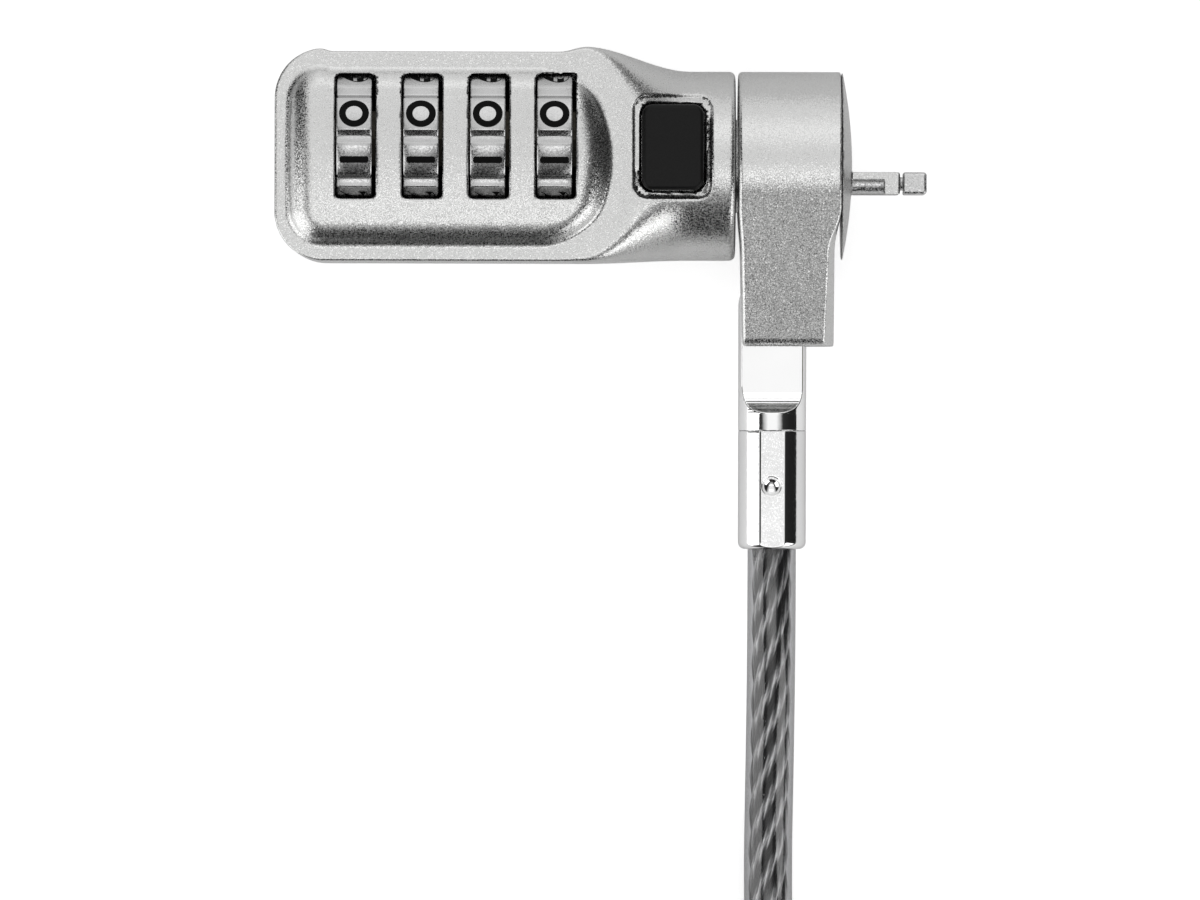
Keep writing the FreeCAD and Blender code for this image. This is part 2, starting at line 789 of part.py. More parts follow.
def cable_fitting():
    """A turned bar milled to a blade, with a ramp where each flat runs out."""
    top = pivot_y + fitting_radius
    bar = rod(fitting_radius, V(pivot_x, top, swivel_z), -ALONG_Y, top - ferrule_top)
    half = blade_thickness / 2
    profile = [V(0, top + 1, half), V(0, blade_end, half),
               V(0, blade_end - run_out, fitting_radius + near),
               V(0, ferrule_top - 1, fitting_radius + near),
               V(0, ferrule_top - 1, -fitting_radius - near),
               V(0, blade_end - run_out, -fitting_radius - near), V(0, blade_end, -half),
               V(0, top + 1, -half)]
    profile = [p + V(pivot_x - fitting_radius - 1, 0, swivel_z) for p in profile]
    milled = bar.common(prism(profile, V(2 * fitting_radius + 2, 0, 0)))
    crown = rod(fitting_radius, V(pivot_x, pivot_y, swivel_z - fitting_radius), ALONG_Z,
                2 * fitting_radius)
    reach = fitting_radius + 1
    below = box(pivot_x - reach, pivot_x + reach, ferrule_top - 1, pivot_y, swivel_z - reach,
                swivel_z + reach)
    milled = milled.common(crown.fuse(below))
    stub = rod(stub_radius, V(pivot_x, ferrule_top + bite, swivel_z), -ALONG_Y,
               stub_length + bite)
    return fuse([milled, stub]).cut(pivot_hole(pivot_radius + running))


def ferrule():
    """The crimped sleeve, with a flat and a dimple on its front."""
    length = ferrule_top - ferrule_bottom
    bar = rod(fitting_radius, V(pivot_x, ferrule_top, swivel_z), -ALONG_Y, length)
    ends = edges_at(bar, lambda p: p.y < ferrule_bottom + near)
    bar = bar.makeChamfer(ferrule_chamfer, ends)
    flat_z = swivel_z + fitting_radius - crimp_flat
    flat = box(pivot_x - fitting_radius, pivot_x + fitting_radius, ferrule_bottom + crimp_margin,
               ferrule_top - crimp_margin, flat_z, flat_z + 2 * crimp_flat)
    dimple_y = (ferrule_top + ferrule_bottom) / 2 + dimple_offset
    dimple = Part.makeCone(dimple_radius / 2, dimple_radius, dimple_depth,
                           V(pivot_x, dimple_y, flat_z - dimple_depth), ALONG_Z)
    bore = rod(stub_radius, V(pivot_x, ferrule_top + 1, swivel_z), -ALONG_Y, stub_length + 1)
    return cut(bar, [flat, dimple, bore])


def reset_screw():
    """The slotted screw in the left end, with the flange that keeps it in."""
    left = head_left
    seat = cavity_left + reset_gap
    head = rod(reset_head_radius, V(left, dial_y, dial_z), ALONG_X, seat - left)
    flange = rod(reset_flange_radius, V(seat, dial_y, dial_z), ALONG_X, reset_flange)
    slot = box(left - 1, left + reset_slot_depth, dial_y - reset_head_radius - 1,
               dial_y + reset_head_radius + 1,
               dial_z - reset_slot_width / 2, dial_z + reset_slot_width / 2)
    return fuse([head, flange]).cut(slot)


def biarc(start, start_way, end, end_way):
    """Two arcs that leave start along one direction and reach end along another."""
    across = end - start
    ways = start_way + end_way
    spread = 2 * (1 - start_way.dot(end_way))
    along = across.dot(ways)
    if spread < 1e-9:
        reach = across.dot(across) / (2 * along)
    else:
        reach = (math.sqrt(along ** 2 + spread * across.dot(across)) - along) / spread
    first = start + start_way * reach
    second = end - end_way * reach
    middle = (first + second) * 0.5
    return [arc_by_corner(start, first, middle), arc_by_corner(middle, second, end)]


def arc_by_corner(start, corner, end):
    """The arc from start to end whose tangents meet at corner, or a line if they are straight."""
    centre = (start + end) * 0.5
    half = (end - start).Length / 2
    rise = (corner - centre).Length
    if rise < 1e-5:
        return Part.makeLine(start, end)
    angle = math.atan2(rise, half)
    top = centre + (corner - centre) * (half * math.tan(angle / 2) / rise)
    return Part.Arc(start, top, end).toShape()


def tube_section(radius, sides, start, way):
    """A regular outline across a tube, with one flat side underneath where the tube lies level."""
    level = way.cross(ALONG_Z).normalize()
    up = level.cross(way).normalize()
    corners = []
    for i in range(sides):
        a = 2 * math.pi * (i + 0.5) / sides
        corners.append(start + (up * math.cos(a) + level * math.sin(a)) * radius)
    return Part.makePolygon(corners + corners[:1])


def wound_tube(radius, sides, knots):
    """One unbroken tube through knots of point and direction."""
    edges = []
    for (p, d), (q, e) in zip(knots, knots[1:]):
        edges.extend(biarc(p, d, q, e))
    path = Part.Wire(edges)
    section = tube_section(radius, sides, knots[0][0], V(knots[0][1]))
    return path.makePipeShell([section], True, False), path


def helix_spring(radius, wire, turns, start, axis, side, length):
    """A compression spring between two faces, in quarter turns."""
    other = axis.cross(side)
    rise = (length - wire) / turns
    knots = []
    for i in range(4 * turns + 1):
        a = math.pi / 2 * i
        out = side * math.cos(a) + other * math.sin(a)
        way = (other * math.cos(a) - side * math.sin(a)) * (2 * math.pi * radius) + axis * rise
        point = start + axis * (wire / 2 + rise * i / 4) + out * radius
        knots.append((point, way.normalize()))
    return wound_tube(wire / 2, spring_sides, knots)[0]


def spindle_spring():
    """The spring that pushes the spindle away from the reset screw."""
    left = cavity_left + reset_gap + reset_flange
    return helix_spring(spindle_spring_radius, spindle_spring_wire, spindle_spring_turns,
                        V(left + near, dial_y, dial_z), ALONG_X, ALONG_Z,
                        spindle_left - left - 2 * near)


def button_spring():
    """The spring that lifts the slider."""
    length = slider_bottom - chamber_bottom - 2 * near
    return helix_spring(button_spring_radius, button_spring_wire, button_spring_turns,
                        V((slider_left + slider_right) / 2, button_y, chamber_bottom + near),
                        ALONG_Z, ALONG_X, length)


def lead_path():
    """Straight runs of the free cable, joined by tangent arcs."""
    points = [V(*p) for p in lead_route]
    edges = []
    last = points[0]
    for before, corner, after in zip(points, points[1:], points[2:]):
        run_in = corner - before
        run_out_of = after - corner
        turn = run_in.getAngle(run_out_of)
        cut_back = bend_share * min(run_in.Length, run_out_of.Length)
        print("lead: turn %.1f degrees, radius %.1f" % (math.degrees(turn),
                                                        cut_back / math.tan(turn / 2)))
        enter = corner - run_in.normalize() * cut_back
        leave = corner + run_out_of.normalize() * cut_back
        edges.append(Part.makeLine(last, enter))
        edges.append(arc_by_corner(enter, corner, leave))
        last = leave
    edges.append(Part.makeLine(last, points[-1]))
    return Part.Wire(edges)


def report_tube(name, solid, path):
    """Prints how a tube's volume compares with its section times its length."""
    area = cable_sides / 2 * cable_radius ** 2 * math.sin(2 * math.pi / cable_sides)
    ideal = area * path.Length
    print("%s: length %.1f, volume ratio %.4f" % (name, path.Length, solid.Volume / ideal))


def cable_lead():
    """The free cable, from the ferrule down to the surface and on to the coil."""
    path = lead_path()
    way = V(*lead_route[1]) - V(*lead_route[0])
    section = tube_section(cable_radius, cable_sides, V(*lead_route[0]), way)
    solid = path.makePipeShell([section], True, False)
    report_tube("cable_lead", solid, path)
    return solid


def coil_centre():
    """The middle of the coil, level with its first turn."""
    x, y, z = lead_route[-1]
    return V(x - coil_outer, y - 2 * cable_radius, z)


def coil_point(turns):
    """A point of the coil's spiral after a number of turns, and the direction there."""
    return coil_place(turns), (coil_place(turns + 1e-4) - coil_place(turns - 1e-4)).normalize()


def coil_place(turns):
    """Clockwise turns that spiral in and out again, a layer higher after each reversal."""
    layer = min(max(int(turns // coil_turns_per_layer), 0), coil_layers - 1)
    share = turns / coil_turns_per_layer - layer
    if layer % 2:
        share = 1 - share
    radius = blend(coil_outer, coil_inner, share)
    height = 0
    for reversal in range(1, coil_layers):
        start = reversal * coil_turns_per_layer - climb_turns / 2
        height += smooth(min(max((turns - start) / climb_turns, 0), 1))
    angle = -2 * math.pi * turns
    return coil_centre() + V(radius * math.cos(angle), radius * math.sin(angle),
                             height * coil_layer_pitch)


def least_gap(path, radius, step):
    """The least gap of a tube to itself, measured on points along its middle."""
    points = path.discretize(Distance=step)
    skip = int(6 * radius / step)
    least = 1e9
    for i, p in enumerate(points):
        for q in points[i + skip:]:
            if abs(p.z - q.z) < 3 * radius:
                least = min(least, (p - q).Length)
    return least - 2 * radius


def cable_coil():
    """The coil: two turns a layer, four layers, as one unbroken tube."""
    down = V(0, -1, 0)
    straight = 2 * cable_radius
    total = coil_turns_per_layer * coil_layers
    first = coil_centre() + V(coil_outer, straight, 0)
    last = coil_place(total)
    knots = [(first, down), (coil_place(0), down)]
    for quarter in range(1, 4 * total):
        knots.append(coil_point(quarter / 4))
    knots.append((last, down))
    knots.append((last + down * straight, down))
    solid, path = wound_tube(cable_radius, cable_sides, knots)
    report_tube("cable_coil", solid, path)
    print("cable_coil: least gap to itself %.2f" % least_gap(path, cable_radius, 1.5))
    return solid


def eye_knots():
    """The tail over the coil and round the eye, as knots of point and direction."""
    centre = coil_centre()
    low = coil_layer_pitch * (coil_layers - 1)
    high = low + eye_rise

    def polar(angle, radius, z):
        a = math.radians(angle)
        return centre + V(radius * math.cos(a), radius * math.sin(a), z)

    down = V(0, -1, 0)
    start = coil_place(coil_turns_per_layer * coil_layers) + down * 2 * cable_radius
    over = []
    for angle, radius, share, slope in tail_route:
        a = math.radians(angle)
        way = V(math.sin(a), -math.cos(a), slope).normalize()
        over.append((polar(angle, radius, blend(low, high, share)), way))
    along = V(1, -1, 0).normalize()
    right = V(-1, -1, 0).normalize()
    sleeve_in = polar(eye_angle, eye_reach, high)
    leave = sleeve_in + along * eye_sleeve_length
    middle = leave + right * (eye_pitch / 2) + along * eye_length
    back = leave + right * eye_pitch
    return [(start, down)] + over + [
        (sleeve_in, along),
        (leave, along),
        (middle - right * eye_radius, along),
        (middle + along * eye_radius, right),
        (middle + right * eye_radius, -along),
        (back, -along),
        (back - along * (eye_sleeve_length - 1), -along),
    ]


def cable_tail():
    """The cable's end: over the coil, through the sleeve, round the eye and back into it."""
    solid, path = wound_tube(cable_radius, cable_sides, eye_knots())
    report_tube("cable_tail", solid, path)
    print("cable_tail: least gap to itself %.2f" % least_gap(path, cable_radius, 1.0))
    return solid


def loop_sleeve():
    """The pressed sleeve that holds both strands of the eye, round at its sides."""
    knots = eye_knots()
    enter, along = knots[5]
    leave = knots[6][0]
    right = along.cross(ALONG_Z)
    half = cable_radius + eye_sleeve_wall
    length = eye_sleeve_length - 2 * near
    one = enter + along * near
    other = one + right * eye_pitch
    first = rod(half, one, along, length)
    second = rod(half, other, along, length)
    corners = [one + ALONG_Z * half, one - ALONG_Z * half, other - ALONG_Z * half,
               other + ALONG_Z * half]
    web = prism(corners, along * length)
    bores = [rod(cable_radius + bore_gap, p - along, along, (leave - enter).Length + 2)
             for p in [enter, enter + right * eye_pitch]]
    return cut(fuse([first, web, second]), bores)


def cover_screws():
    """The two screws of the back cover, as one group."""
    return Part.makeCompound([screw(x, y) for x, y in screw_places()])


def build():
    """Writes every piece to its own file."""
    os.makedirs("parts", exist_ok=True)
    pieces = {
        "front_housing": front_housing(),
        "back_cover": back_cover(),
        "cover_screws": cover_screws(),
        "dial_saddle": dial_saddle(),
        "click_spring": click_spring(),
        "click_screws": click_screws(),
        "spindle": spindle(),
        "spindle_spring": spindle_spring(),
        "reset_screw": reset_screw(),
        "button_cap": button_cap(),
        "button_slider": button_slider(),
        "button_spring": button_spring(),
        "t_bar": t_bar(),
        "t_bar_crank": t_bar_crank(),
        "nose": nose(),
        "nose_pin": nose_pin(),
        "collar": collar(),
        "pivot_pin": pivot_pin(),
        "cable_fitting": cable_fitting(),
        "ferrule": ferrule(),
        "cable_lead": cable_lead(),
        "cable_coil": cable_coil(),
        "cable_tail": cable_tail(),
        "loop_sleeve": loop_sleeve(),
    }
    for number, centre in enumerate(dial_centres, 1):
        pieces["dial_%d" % number] = dial(centre)
        pieces["dial_sleeve_%d" % number] = dial_sleeve(centre)
    for name, shape in pieces.items():
        shape.exportStep("parts/%s.step" % name)
        print(name, "solids", len(shape.Solids), "valid", shape.isValid(),
              "volume %.1f" % shape.Volume)


build()
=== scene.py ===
import math
import bmesh
import bpy
import numpy as np
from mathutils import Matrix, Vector


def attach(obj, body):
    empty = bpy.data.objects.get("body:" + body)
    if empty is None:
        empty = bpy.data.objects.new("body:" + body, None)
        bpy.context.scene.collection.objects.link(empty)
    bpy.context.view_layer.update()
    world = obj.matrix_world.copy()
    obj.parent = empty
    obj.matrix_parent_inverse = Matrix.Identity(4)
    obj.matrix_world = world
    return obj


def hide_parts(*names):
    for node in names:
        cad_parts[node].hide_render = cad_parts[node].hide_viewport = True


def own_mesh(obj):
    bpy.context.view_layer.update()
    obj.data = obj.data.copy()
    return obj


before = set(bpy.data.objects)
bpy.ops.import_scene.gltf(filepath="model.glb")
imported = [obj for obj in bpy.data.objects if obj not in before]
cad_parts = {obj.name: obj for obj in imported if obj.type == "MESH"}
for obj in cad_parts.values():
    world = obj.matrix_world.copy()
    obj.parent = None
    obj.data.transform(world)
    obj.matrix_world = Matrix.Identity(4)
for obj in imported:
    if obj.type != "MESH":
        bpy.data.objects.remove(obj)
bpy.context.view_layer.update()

# View. The lock lies on its back and is seen from straight above through a long lens. All sizes
# in this file are in millimetres up to the call that makes a mesh, which turns them into metres.
MM = 0.001
camera = bpy.data.objects.new("camera", bpy.data.cameras.new("camera"))
bpy.context.scene.collection.objects.link(camera)
bpy.context.scene.camera = camera
sensor_width = 36
focal_length = 400
view_width = 133.3
view_level = 18
view_middle = (16.1, -32.7)
view_turn = 0.15
camera.data.sensor_width = sensor_width
camera.data.lens = focal_length
camera.data.clip_start = 0.01
camera.data.clip_end = 20
view_height = view_width / sensor_width * focal_length + view_level
camera.location = Vector((*view_middle, view_height)) * MM
camera.rotation_euler = (0, 0, math.radians(view_turn))

# Floor and light. A pale floor in a soft studio. The room is light overhead and on the far side,
# dark low down on the near side and at both sides, with a soft box at each near corner.
floor_reach = 3
floor_drop = 1e-4
floor_mirrored = 0.25
floor_glow = 0.58
floor_mesh = bpy.data.meshes.new("floor")
floor_mesh.from_pydata([(x * floor_reach, y * floor_reach, -floor_drop)
                        for x, y in ((-1, -1), (1, -1), (1, 1), (-1, 1))], [], [(0, 1, 2, 3)])
floor = bpy.data.objects.new("floor", floor_mesh)
bpy.context.scene.collection.objects.link(floor)


def node_adder(tree):
    """The function that adds a node to a tree: settings by name, sockets as links or values."""
    def add(kind, settings=(), **links):
        node = tree.nodes.new("ShaderNode" + kind)
        for key, value in dict(settings).items():
            setattr(node, key, value)
        for key, value in links.items():
            socket = node.inputs[int(key[1:]) if key[1:].isdigit() else key.replace("_", " ")]
            if isinstance(value, bpy.types.NodeSocket):
                tree.links.new(value, socket)
            else:
                socket.default_value = value
        return node

    return add


def new_material(name):
    """A material with only its output, and what adds nodes and links to it."""
    material = bpy.data.materials.new(name)
    material.use_nodes = True
    tree = material.node_tree
    tree.nodes.clear()
    return material, node_adder(tree), tree.nodes.new("ShaderNodeOutputMaterial"), tree


paper, add, output, tree = new_material("pale_floor")
rays = add("LightPath")
seen = add("Math", {"operation": "MAXIMUM"}, i0=rays.outputs["Is Glossy Ray"],
           i1=rays.outputs["Is Transmission Ray"])
seen = add("Math", {"operation": "MULTIPLY"}, i0=seen.outputs[0], i1=floor_mirrored)
seen = add("Math", {"operation": "MAXIMUM"}, i0=seen.outputs[0], i1=rays.outputs["Is Camera Ray"])
lift = add("Math", {"operation": "MULTIPLY"}, i0=seen.outputs[0], i1=floor_glow)
matt = add("BsdfDiffuse", Color=(0.86, 0.86, 0.86, 1))
glow = add("Emission", Color=(1, 1, 1, 1), Strength=lift.outputs[0])
both = add("AddShader", i0=matt.outputs[0], i1=glow.outputs[0])
tree.links.new(both.outputs[0], output.inputs["Surface"])
floor.data.materials.append(paper)


def lamp(name, place, aim, width, depth, level):
    """A soft rectangular lamp, its sizes in millimetres and its level as a share of white."""
    light = bpy.data.lights.new(name, "AREA")
    light.shape = "RECTANGLE"
    light.size = width * MM
    light.size_y = depth * MM
    light.energy = level * math.pi * light.size * light.size_y
    holder = bpy.data.objects.new(name, light)
    holder.visible_camera = False
    bpy.context.scene.collection.objects.link(holder)
    holder.location = Vector(place) * MM
    way = (Vector(aim) - Vector(place)).normalized()
    holder.rotation_euler = way.to_track_quat("-Z", "Y").to_euler()


lamp("overhead_strip", (15, -240, 950), (15, -10, 0), 800, 200, 1.0)
lamp("far_panel", (60, 700, 800), (15, -30, 0), 900, 500, 0.3)
lamp("left_box", (-225, -134, 160), (20, -4, 160), 270, 320, 1.7)
lamp("right_box", (265, -250, 150), (20, -20, 10), 300, 200, 2.0)

world = bpy.data.worlds.new("studio")
bpy.context.scene.world = world
world.use_nodes = True
tree = world.node_tree
tree.nodes.clear()
add = node_adder(tree)
light_from = (0, 0.8, 0.6)
side_start = 0.2
side_fall = -1.9
where = add("TexCoord")
lean = add("VectorMath", {"operation": "DOT_PRODUCT"}, i0=where.outputs["Generated"],
           i1=light_from)
parts = add("SeparateXYZ", Vector=where.outputs["Generated"])
aside = add("Math", {"operation": "ABSOLUTE"}, i0=parts.outputs["X"])
beyond = add("Math", {"operation": "SUBTRACT", "use_clamp": True}, i0=aside.outputs[0],
             i1=side_start)
drop = add("Math", {"operation": "MULTIPLY_ADD"}, i0=beyond.outputs[0], i1=side_fall,
           i2=lean.outputs["Value"])
shift = add("Math", {"operation": "MULTIPLY_ADD"}, i0=drop.outputs[0], i1=0.5, i2=0.5)
tone = add("ValToRGB", Fac=shift.outputs[0])
tone.color_ramp.interpolation = "EASE"
tones = [(0.0, 0.015), (0.15, 0.02), (0.37, 0.03), (0.44, 0.2), (0.5, 0.46), (0.58, 0.62),
         (0.66, 0.8), (0.73, 0.97), (0.82, 1.0), (1.0, 1.1)]
for place, level in tones:
    stop = tone.color_ramp.elements.new(place)
    stop.color = (level, level, level, 1)
tone.color_ramp.elements.remove(tone.color_ramp.elements[0])
rays = add("LightPath")
pick = add("Mix", {"data_type": "RGBA"}, Factor=rays.outputs["Is Camera Ray"],
           A=tone.outputs["Color"], B=(1, 1, 1, 1))
sky = add("Background", Color=pick.outputs["Result"])
output = tree.nodes.new("ShaderNodeOutputWorld")
tree.links.new(sky.outputs[0], output.inputs["Surface"])
bpy.context.scene.view_settings.view_transform = "Standard"

# Cable. Galvanised wire rope, six strands laid round a core, under a smoky clear vinyl jacket. It
# leaves the ferrule, drops to the surface, is put away in a round coil and ends in an eye.
CABLE = 5.4
lead_route = [
    (35.3, -43.7, 10.6),
    (35.3, -53.7, 10.6),
    (35.2, -67.0, 6.5),
    (35.0, -81.0, 2.7),
    (35.4, -96.5, 2.7),
    (36.0, -111.0, 2.7),
    (36.0, -124.6, 2.7),
]
coil_inner = 25.0
coil_outer = 37.0
coil_layers = 4
turns_per_layer = 2
layer_pitch = 5.9
points_per_turn = 16
climb_turns = 0.5
coil_middle = Vector((lead_route[-1][0] - coil_outer, lead_route[-1][1] - CABLE,
                      lead_route[-1][2]))


def spline_share(angle):
    """The spline's radius as a share of its control points', which stand an angle apart."""
    return (3 + math.cos(angle)) / 4


def coil_place(turns):
    """A control point of the coil: in and out again, a layer higher after each reversal."""
    layer = min(int(turns // turns_per_layer), coil_layers - 1)
    share = turns / turns_per_layer - layer
    if layer % 2:
        share = 1 - share
    radius = coil_outer + (coil_inner - coil_outer) * share
    radius /= spline_share(2 * math.pi / points_per_turn)
    height = 0
    for reversal in range(1, coil_layers):
        start = reversal * turns_per_layer - climb_turns / 2
        climb = min(max((turns - start) / climb_turns, 0), 1)
        height += climb * climb * (3 - 2 * climb)
    angle = -2 * math.pi * turns
    return coil_middle + Vector((radius * math.cos(angle), radius * math.sin(angle),
                                 height * layer_pitch))


def over_coil(angle, radius, height):
    """A point round the coil's middle, by its angle in degrees."""
    angle = math.radians(angle)
    return coil_middle + Vector((radius * math.cos(angle), radius * math.sin(angle), height))


top_layer = layer_pitch * (coil_layers - 1)
eye_rise = 6.5
eye_radius = 17
eye_pitch = 5.9
eye_sleeve = 14
eye_reach = 29
eye_step = math.radians(22.5)
along = Vector((1, -1, 0)).normalized()
right = Vector((-1, -1, 0)).normalized()
sleeve_in = over_coil(113, 20.6, top_layer + eye_rise)
sleeve_out = sleeve_in + along * eye_sleeve
eye_middle = sleeve_out + right * (eye_pitch / 2) + along * eye_reach
back_in = sleeve_out + right * eye_pitch

route = [Vector(p) for p in lead_route]
for i in range(turns_per_layer * coil_layers * points_per_turn):
    route.append(coil_place((i + 0.5) / points_per_turn))
route.append(coil_middle + Vector((coil_outer, 0, top_layer)))
round_and_up = [(-12, 37.6, 0), (-25, 38.2, 0), (-40, 38.9, 0), (-55, 39.3, 0.2),
                (-72, 39.6, 0.8), (-90, 39.7, 1.7), (-108, 39.6, 2.9), (-126, 39.5, 4.1),
                (-144, 39.2, 5.2), (-162, 38.7, 6.1), (-178, 38.1, 6.5), (173, 38.0, 6.5),
                (164.5, 38.9, 6.5), (154.4, 38.7, 6.5), (144.3, 37.0, 6.5), (134.4, 33.9, 6.5),
                (124.9, 29.5, 6.5), (116.1, 24.0, 6.5)]
route += [over_coil(angle, radius, top_layer + height) for angle, radius, height in round_and_up]
route += [sleeve_in, sleeve_in + along * 5, sleeve_out - along * 2, sleeve_out + along * 4]
for step in range(-6, 7):
    angle = step * eye_step
    out = eye_radius / spline_share(eye_step)
    route.append(eye_middle + along * (out * math.cos(angle)) + right * (out * math.sin(angle)))
route += [back_in + along * 4, back_in - along * 2, back_in - along * 7,
          back_in - along * (eye_sleeve - 1)]

cable_curve = bpy.data.curves.new("cable_jacket", "CURVE")
cable_curve.dimensions = "3D"
spline = cable_curve.splines.new("NURBS")
spline.points.add(len(route) - 1)
for point, place in zip(spline.points, route):
    point.co = (*(place * MM), 1)
spline.order_u = 3
spline.use_endpoint_u = True
cable_curve.resolution_u = 6
cable_curve.twist_mode = "MINIMUM"
cable_jacket = bpy.data.objects.new("cable_jacket", cable_curve)
bpy.context.scene.collection.objects.link(cable_jacket)
bpy.context.view_layer.update()
line = bpy.data.meshes.new_from_object(cable_jacket)
cable_line = np.array([v.co for v in line.vertices])
bpy.data.meshes.remove(line)
cable_curve.bevel_depth = CABLE / 2 * MM
cable_curve.bevel_resolution = 6
cable_curve.use_fill_caps = True


def even_line(points, step):
    """Points an even step apart along a line of points, and how far along each stands."""
    lengths = np.linalg.norm(np.diff(points, axis=0), axis=1)
    travel = np.concatenate([[0], np.cumsum(lengths)])
    marks = np.linspace(0, travel[-1], int(travel[-1] / step) + 1)
    return np.stack([np.interp(marks, travel, points[:, i]) for i in range(3)], axis=1), marks


def carried_frames(points):
    """At each point, the way along and two directions across that don't twist."""
    ways = np.gradient(points, axis=0)
    ways /= np.linalg.norm(ways, axis=1, keepdims=True)
    side = np.cross(ways[0], (0, 0, 1.0))
    side /= np.linalg.norm(side)
    sides = []
    for way in ways:
        side = side - way * np.dot(side, way)
        side /= np.linalg.norm(side)
        sides.append(side)
    sides = np.array(sides)
    return ways, sides, np.cross(ways, sides)


def tube_points(middles, out, across, radius, sides):
    """The points of a tube's rings in metres, ring after ring, each from out away from across."""
    rings = []
    for k in range(sides):
        angle = 2 * math.pi * k / sides
        rings.append(middles + (out * math.cos(angle) - across * math.sin(angle)) * radius * MM)
    return np.stack(rings, axis=1).reshape(-1, 3)


def tube_faces(rings, sides, first=0):
    """Quads between the rings of a tube, and a cap on each end.

    They face out when the rings run clockwise as seen from the tube's far end.
    """
    faces = []
    for i in range(rings - 1):
        for j in range(sides):
            a = first + i * sides + j
            b = first + i * sides + (j + 1) % sides
            faces.append((a, a + sides, b + sides, b))
    faces.append(tuple(first + j for j in range(sides)))
    faces.append(tuple(first + (rings - 1) * sides + j for j in reversed(range(sides))))
    return faces


def mesh_object(name, points, faces, material, smooth=True):
    """An object at the origin from points in metres."""
    mesh = bpy.data.meshes.new(name)
    mesh.from_pydata([tuple(p) for p in points], [], faces)
    mesh.shade_smooth() if smooth else mesh.shade_flat()
    mesh.materials.append(material)
    thing = bpy.data.objects.new(name, mesh)
    bpy.context.scene.collection.objects.link(thing)
    return thing


def speckled(name, scale, dark, light, roughness, specular=0.5, grain=0):
    """A plain material with a fine speckle of two shades; its grain is a height in metres."""
    material, add, output, tree = new_material(name)
    where = add("TexCoord")
    speck = add("TexNoise", Vector=where.outputs["Object"], Scale=scale, Detail=2)
    shade = add("ValToRGB", Fac=speck.outputs["Fac"])
    shade.color_ramp.elements[0].color = (*dark, 1)
    shade.color_ramp.elements[1].color = (*light, 1)
    body = add("BsdfPrincipled", Base_Color=shade.outputs[0], Roughness=roughness,
               Specular_IOR_Level=specular)
    if grain:
        bump = add("Bump", Height=speck.outputs["Fac"], Strength=0.6, Distance=grain)
        tree.links.new(bump.outputs[0], body.inputs["Normal"])
    tree.links.new(body.outputs[0], output.inputs["Surface"])
    return material


# The rope's colour paints light and shade onto the steel: each strand is painted bright at its
# crest as a highlight and dark down its sides as shade, with a painted glint along each wire and
# a fine random speckle.
rope_steel, add, output, tree = new_material("rope_steel")
where = add("TexCoord")
wires = add("UVMap", {"uv_map": "lay"})
band = add("Mapping", Vector=wires.outputs[0], Scale=(7, 1, 1))
ridge = add("TexWave", {"wave_type": "BANDS", "bands_direction": "X", "wave_profile": "SIN"},
            Vector=band.outputs[0], Scale=0.36, Distortion=0.6, Detail=1.0)
spot = add("TexNoise", Vector=where.outputs["Object"], Scale=700, Detail=3)
crest = add("Attribute", {"attribute_name": "crest"})
# The painted light's level, from crest highlight, wire glints and speckle; the ramp below turns
# it from painted shade into painted highlight.
height = add("Math", {"operation": "MULTIPLY_ADD"}, i0=ridge.outputs["Fac"], i1=0.16,
             i2=crest.outputs["Fac"])
height = add("Math", {"operation": "MULTIPLY_ADD"}, i0=spot.outputs["Fac"], i1=0.3,
             i2=height.outputs[0])
height = add("Math", {"operation": "MULTIPLY"}, i0=height.outputs[0], i1=0.75)
colour = add("ValToRGB", Fac=height.outputs[0])
colour.color_ramp.elements[0].position = 0.64
colour.color_ramp.elements[0].color = (0.012, 0.012, 0.012, 1)
middle = colour.color_ramp.elements.new(0.78)
middle.color = (0.15, 0.15, 0.15, 1)
colour.color_ramp.elements[2].position = 0.92
colour.color_ramp.elements[2].color = (0.97, 0.97, 0.96, 1)
bump = add("Bump", {"invert": True}, Height=ridge.outputs["Fac"], Strength=1.0,
           Distance=0.00035)
body = add("BsdfPrincipled", Base_Color=colour.outputs[0], Metallic=1, Roughness=0.26,
           Normal=bump.outputs[0])
tree.links.new(body.outputs[0], output.inputs["Surface"])

rope_step = 1.3
strand_count = 6
strand_radius = 0.68
strand_offset = 1.54
strand_sides = 7
lay_length = 26
core_radius = 0.55
uv_per_metre = 40
wire_slant = 1.8
rope_points, rope_marks = even_line(cable_line, rope_step * MM)
ways, sides, ups = carried_frames(rope_points)
tubes = []
for strand in range(strand_count):
    turn = 2 * math.pi * (strand / strand_count + rope_marks / MM / lay_length)
    out = sides * np.cos(turn)[:, None] + ups * np.sin(turn)[:, None]
    turn_way = ups * np.cos(turn)[:, None] - sides * np.sin(turn)[:, None]
    lay_slope = 2 * math.pi * strand_offset / lay_length
    cross_way = turn_way - ways * lay_slope
    cross_way /= np.linalg.norm(cross_way, axis=1, keepdims=True)
    tubes.append(tube_points(rope_points + out * strand_offset * MM, out, cross_way,
                             strand_radius, strand_sides))
tubes.append(tube_points(rope_points, sides, ups, core_radius, strand_sides))
rope_faces = []
for tube in range(strand_count + 1):
    rope_faces += tube_faces(len(rope_points), strand_sides, tube * len(tubes[0]))
cable_strands = mesh_object("cable_strands", np.concatenate(tubes), rope_faces, rope_steel)
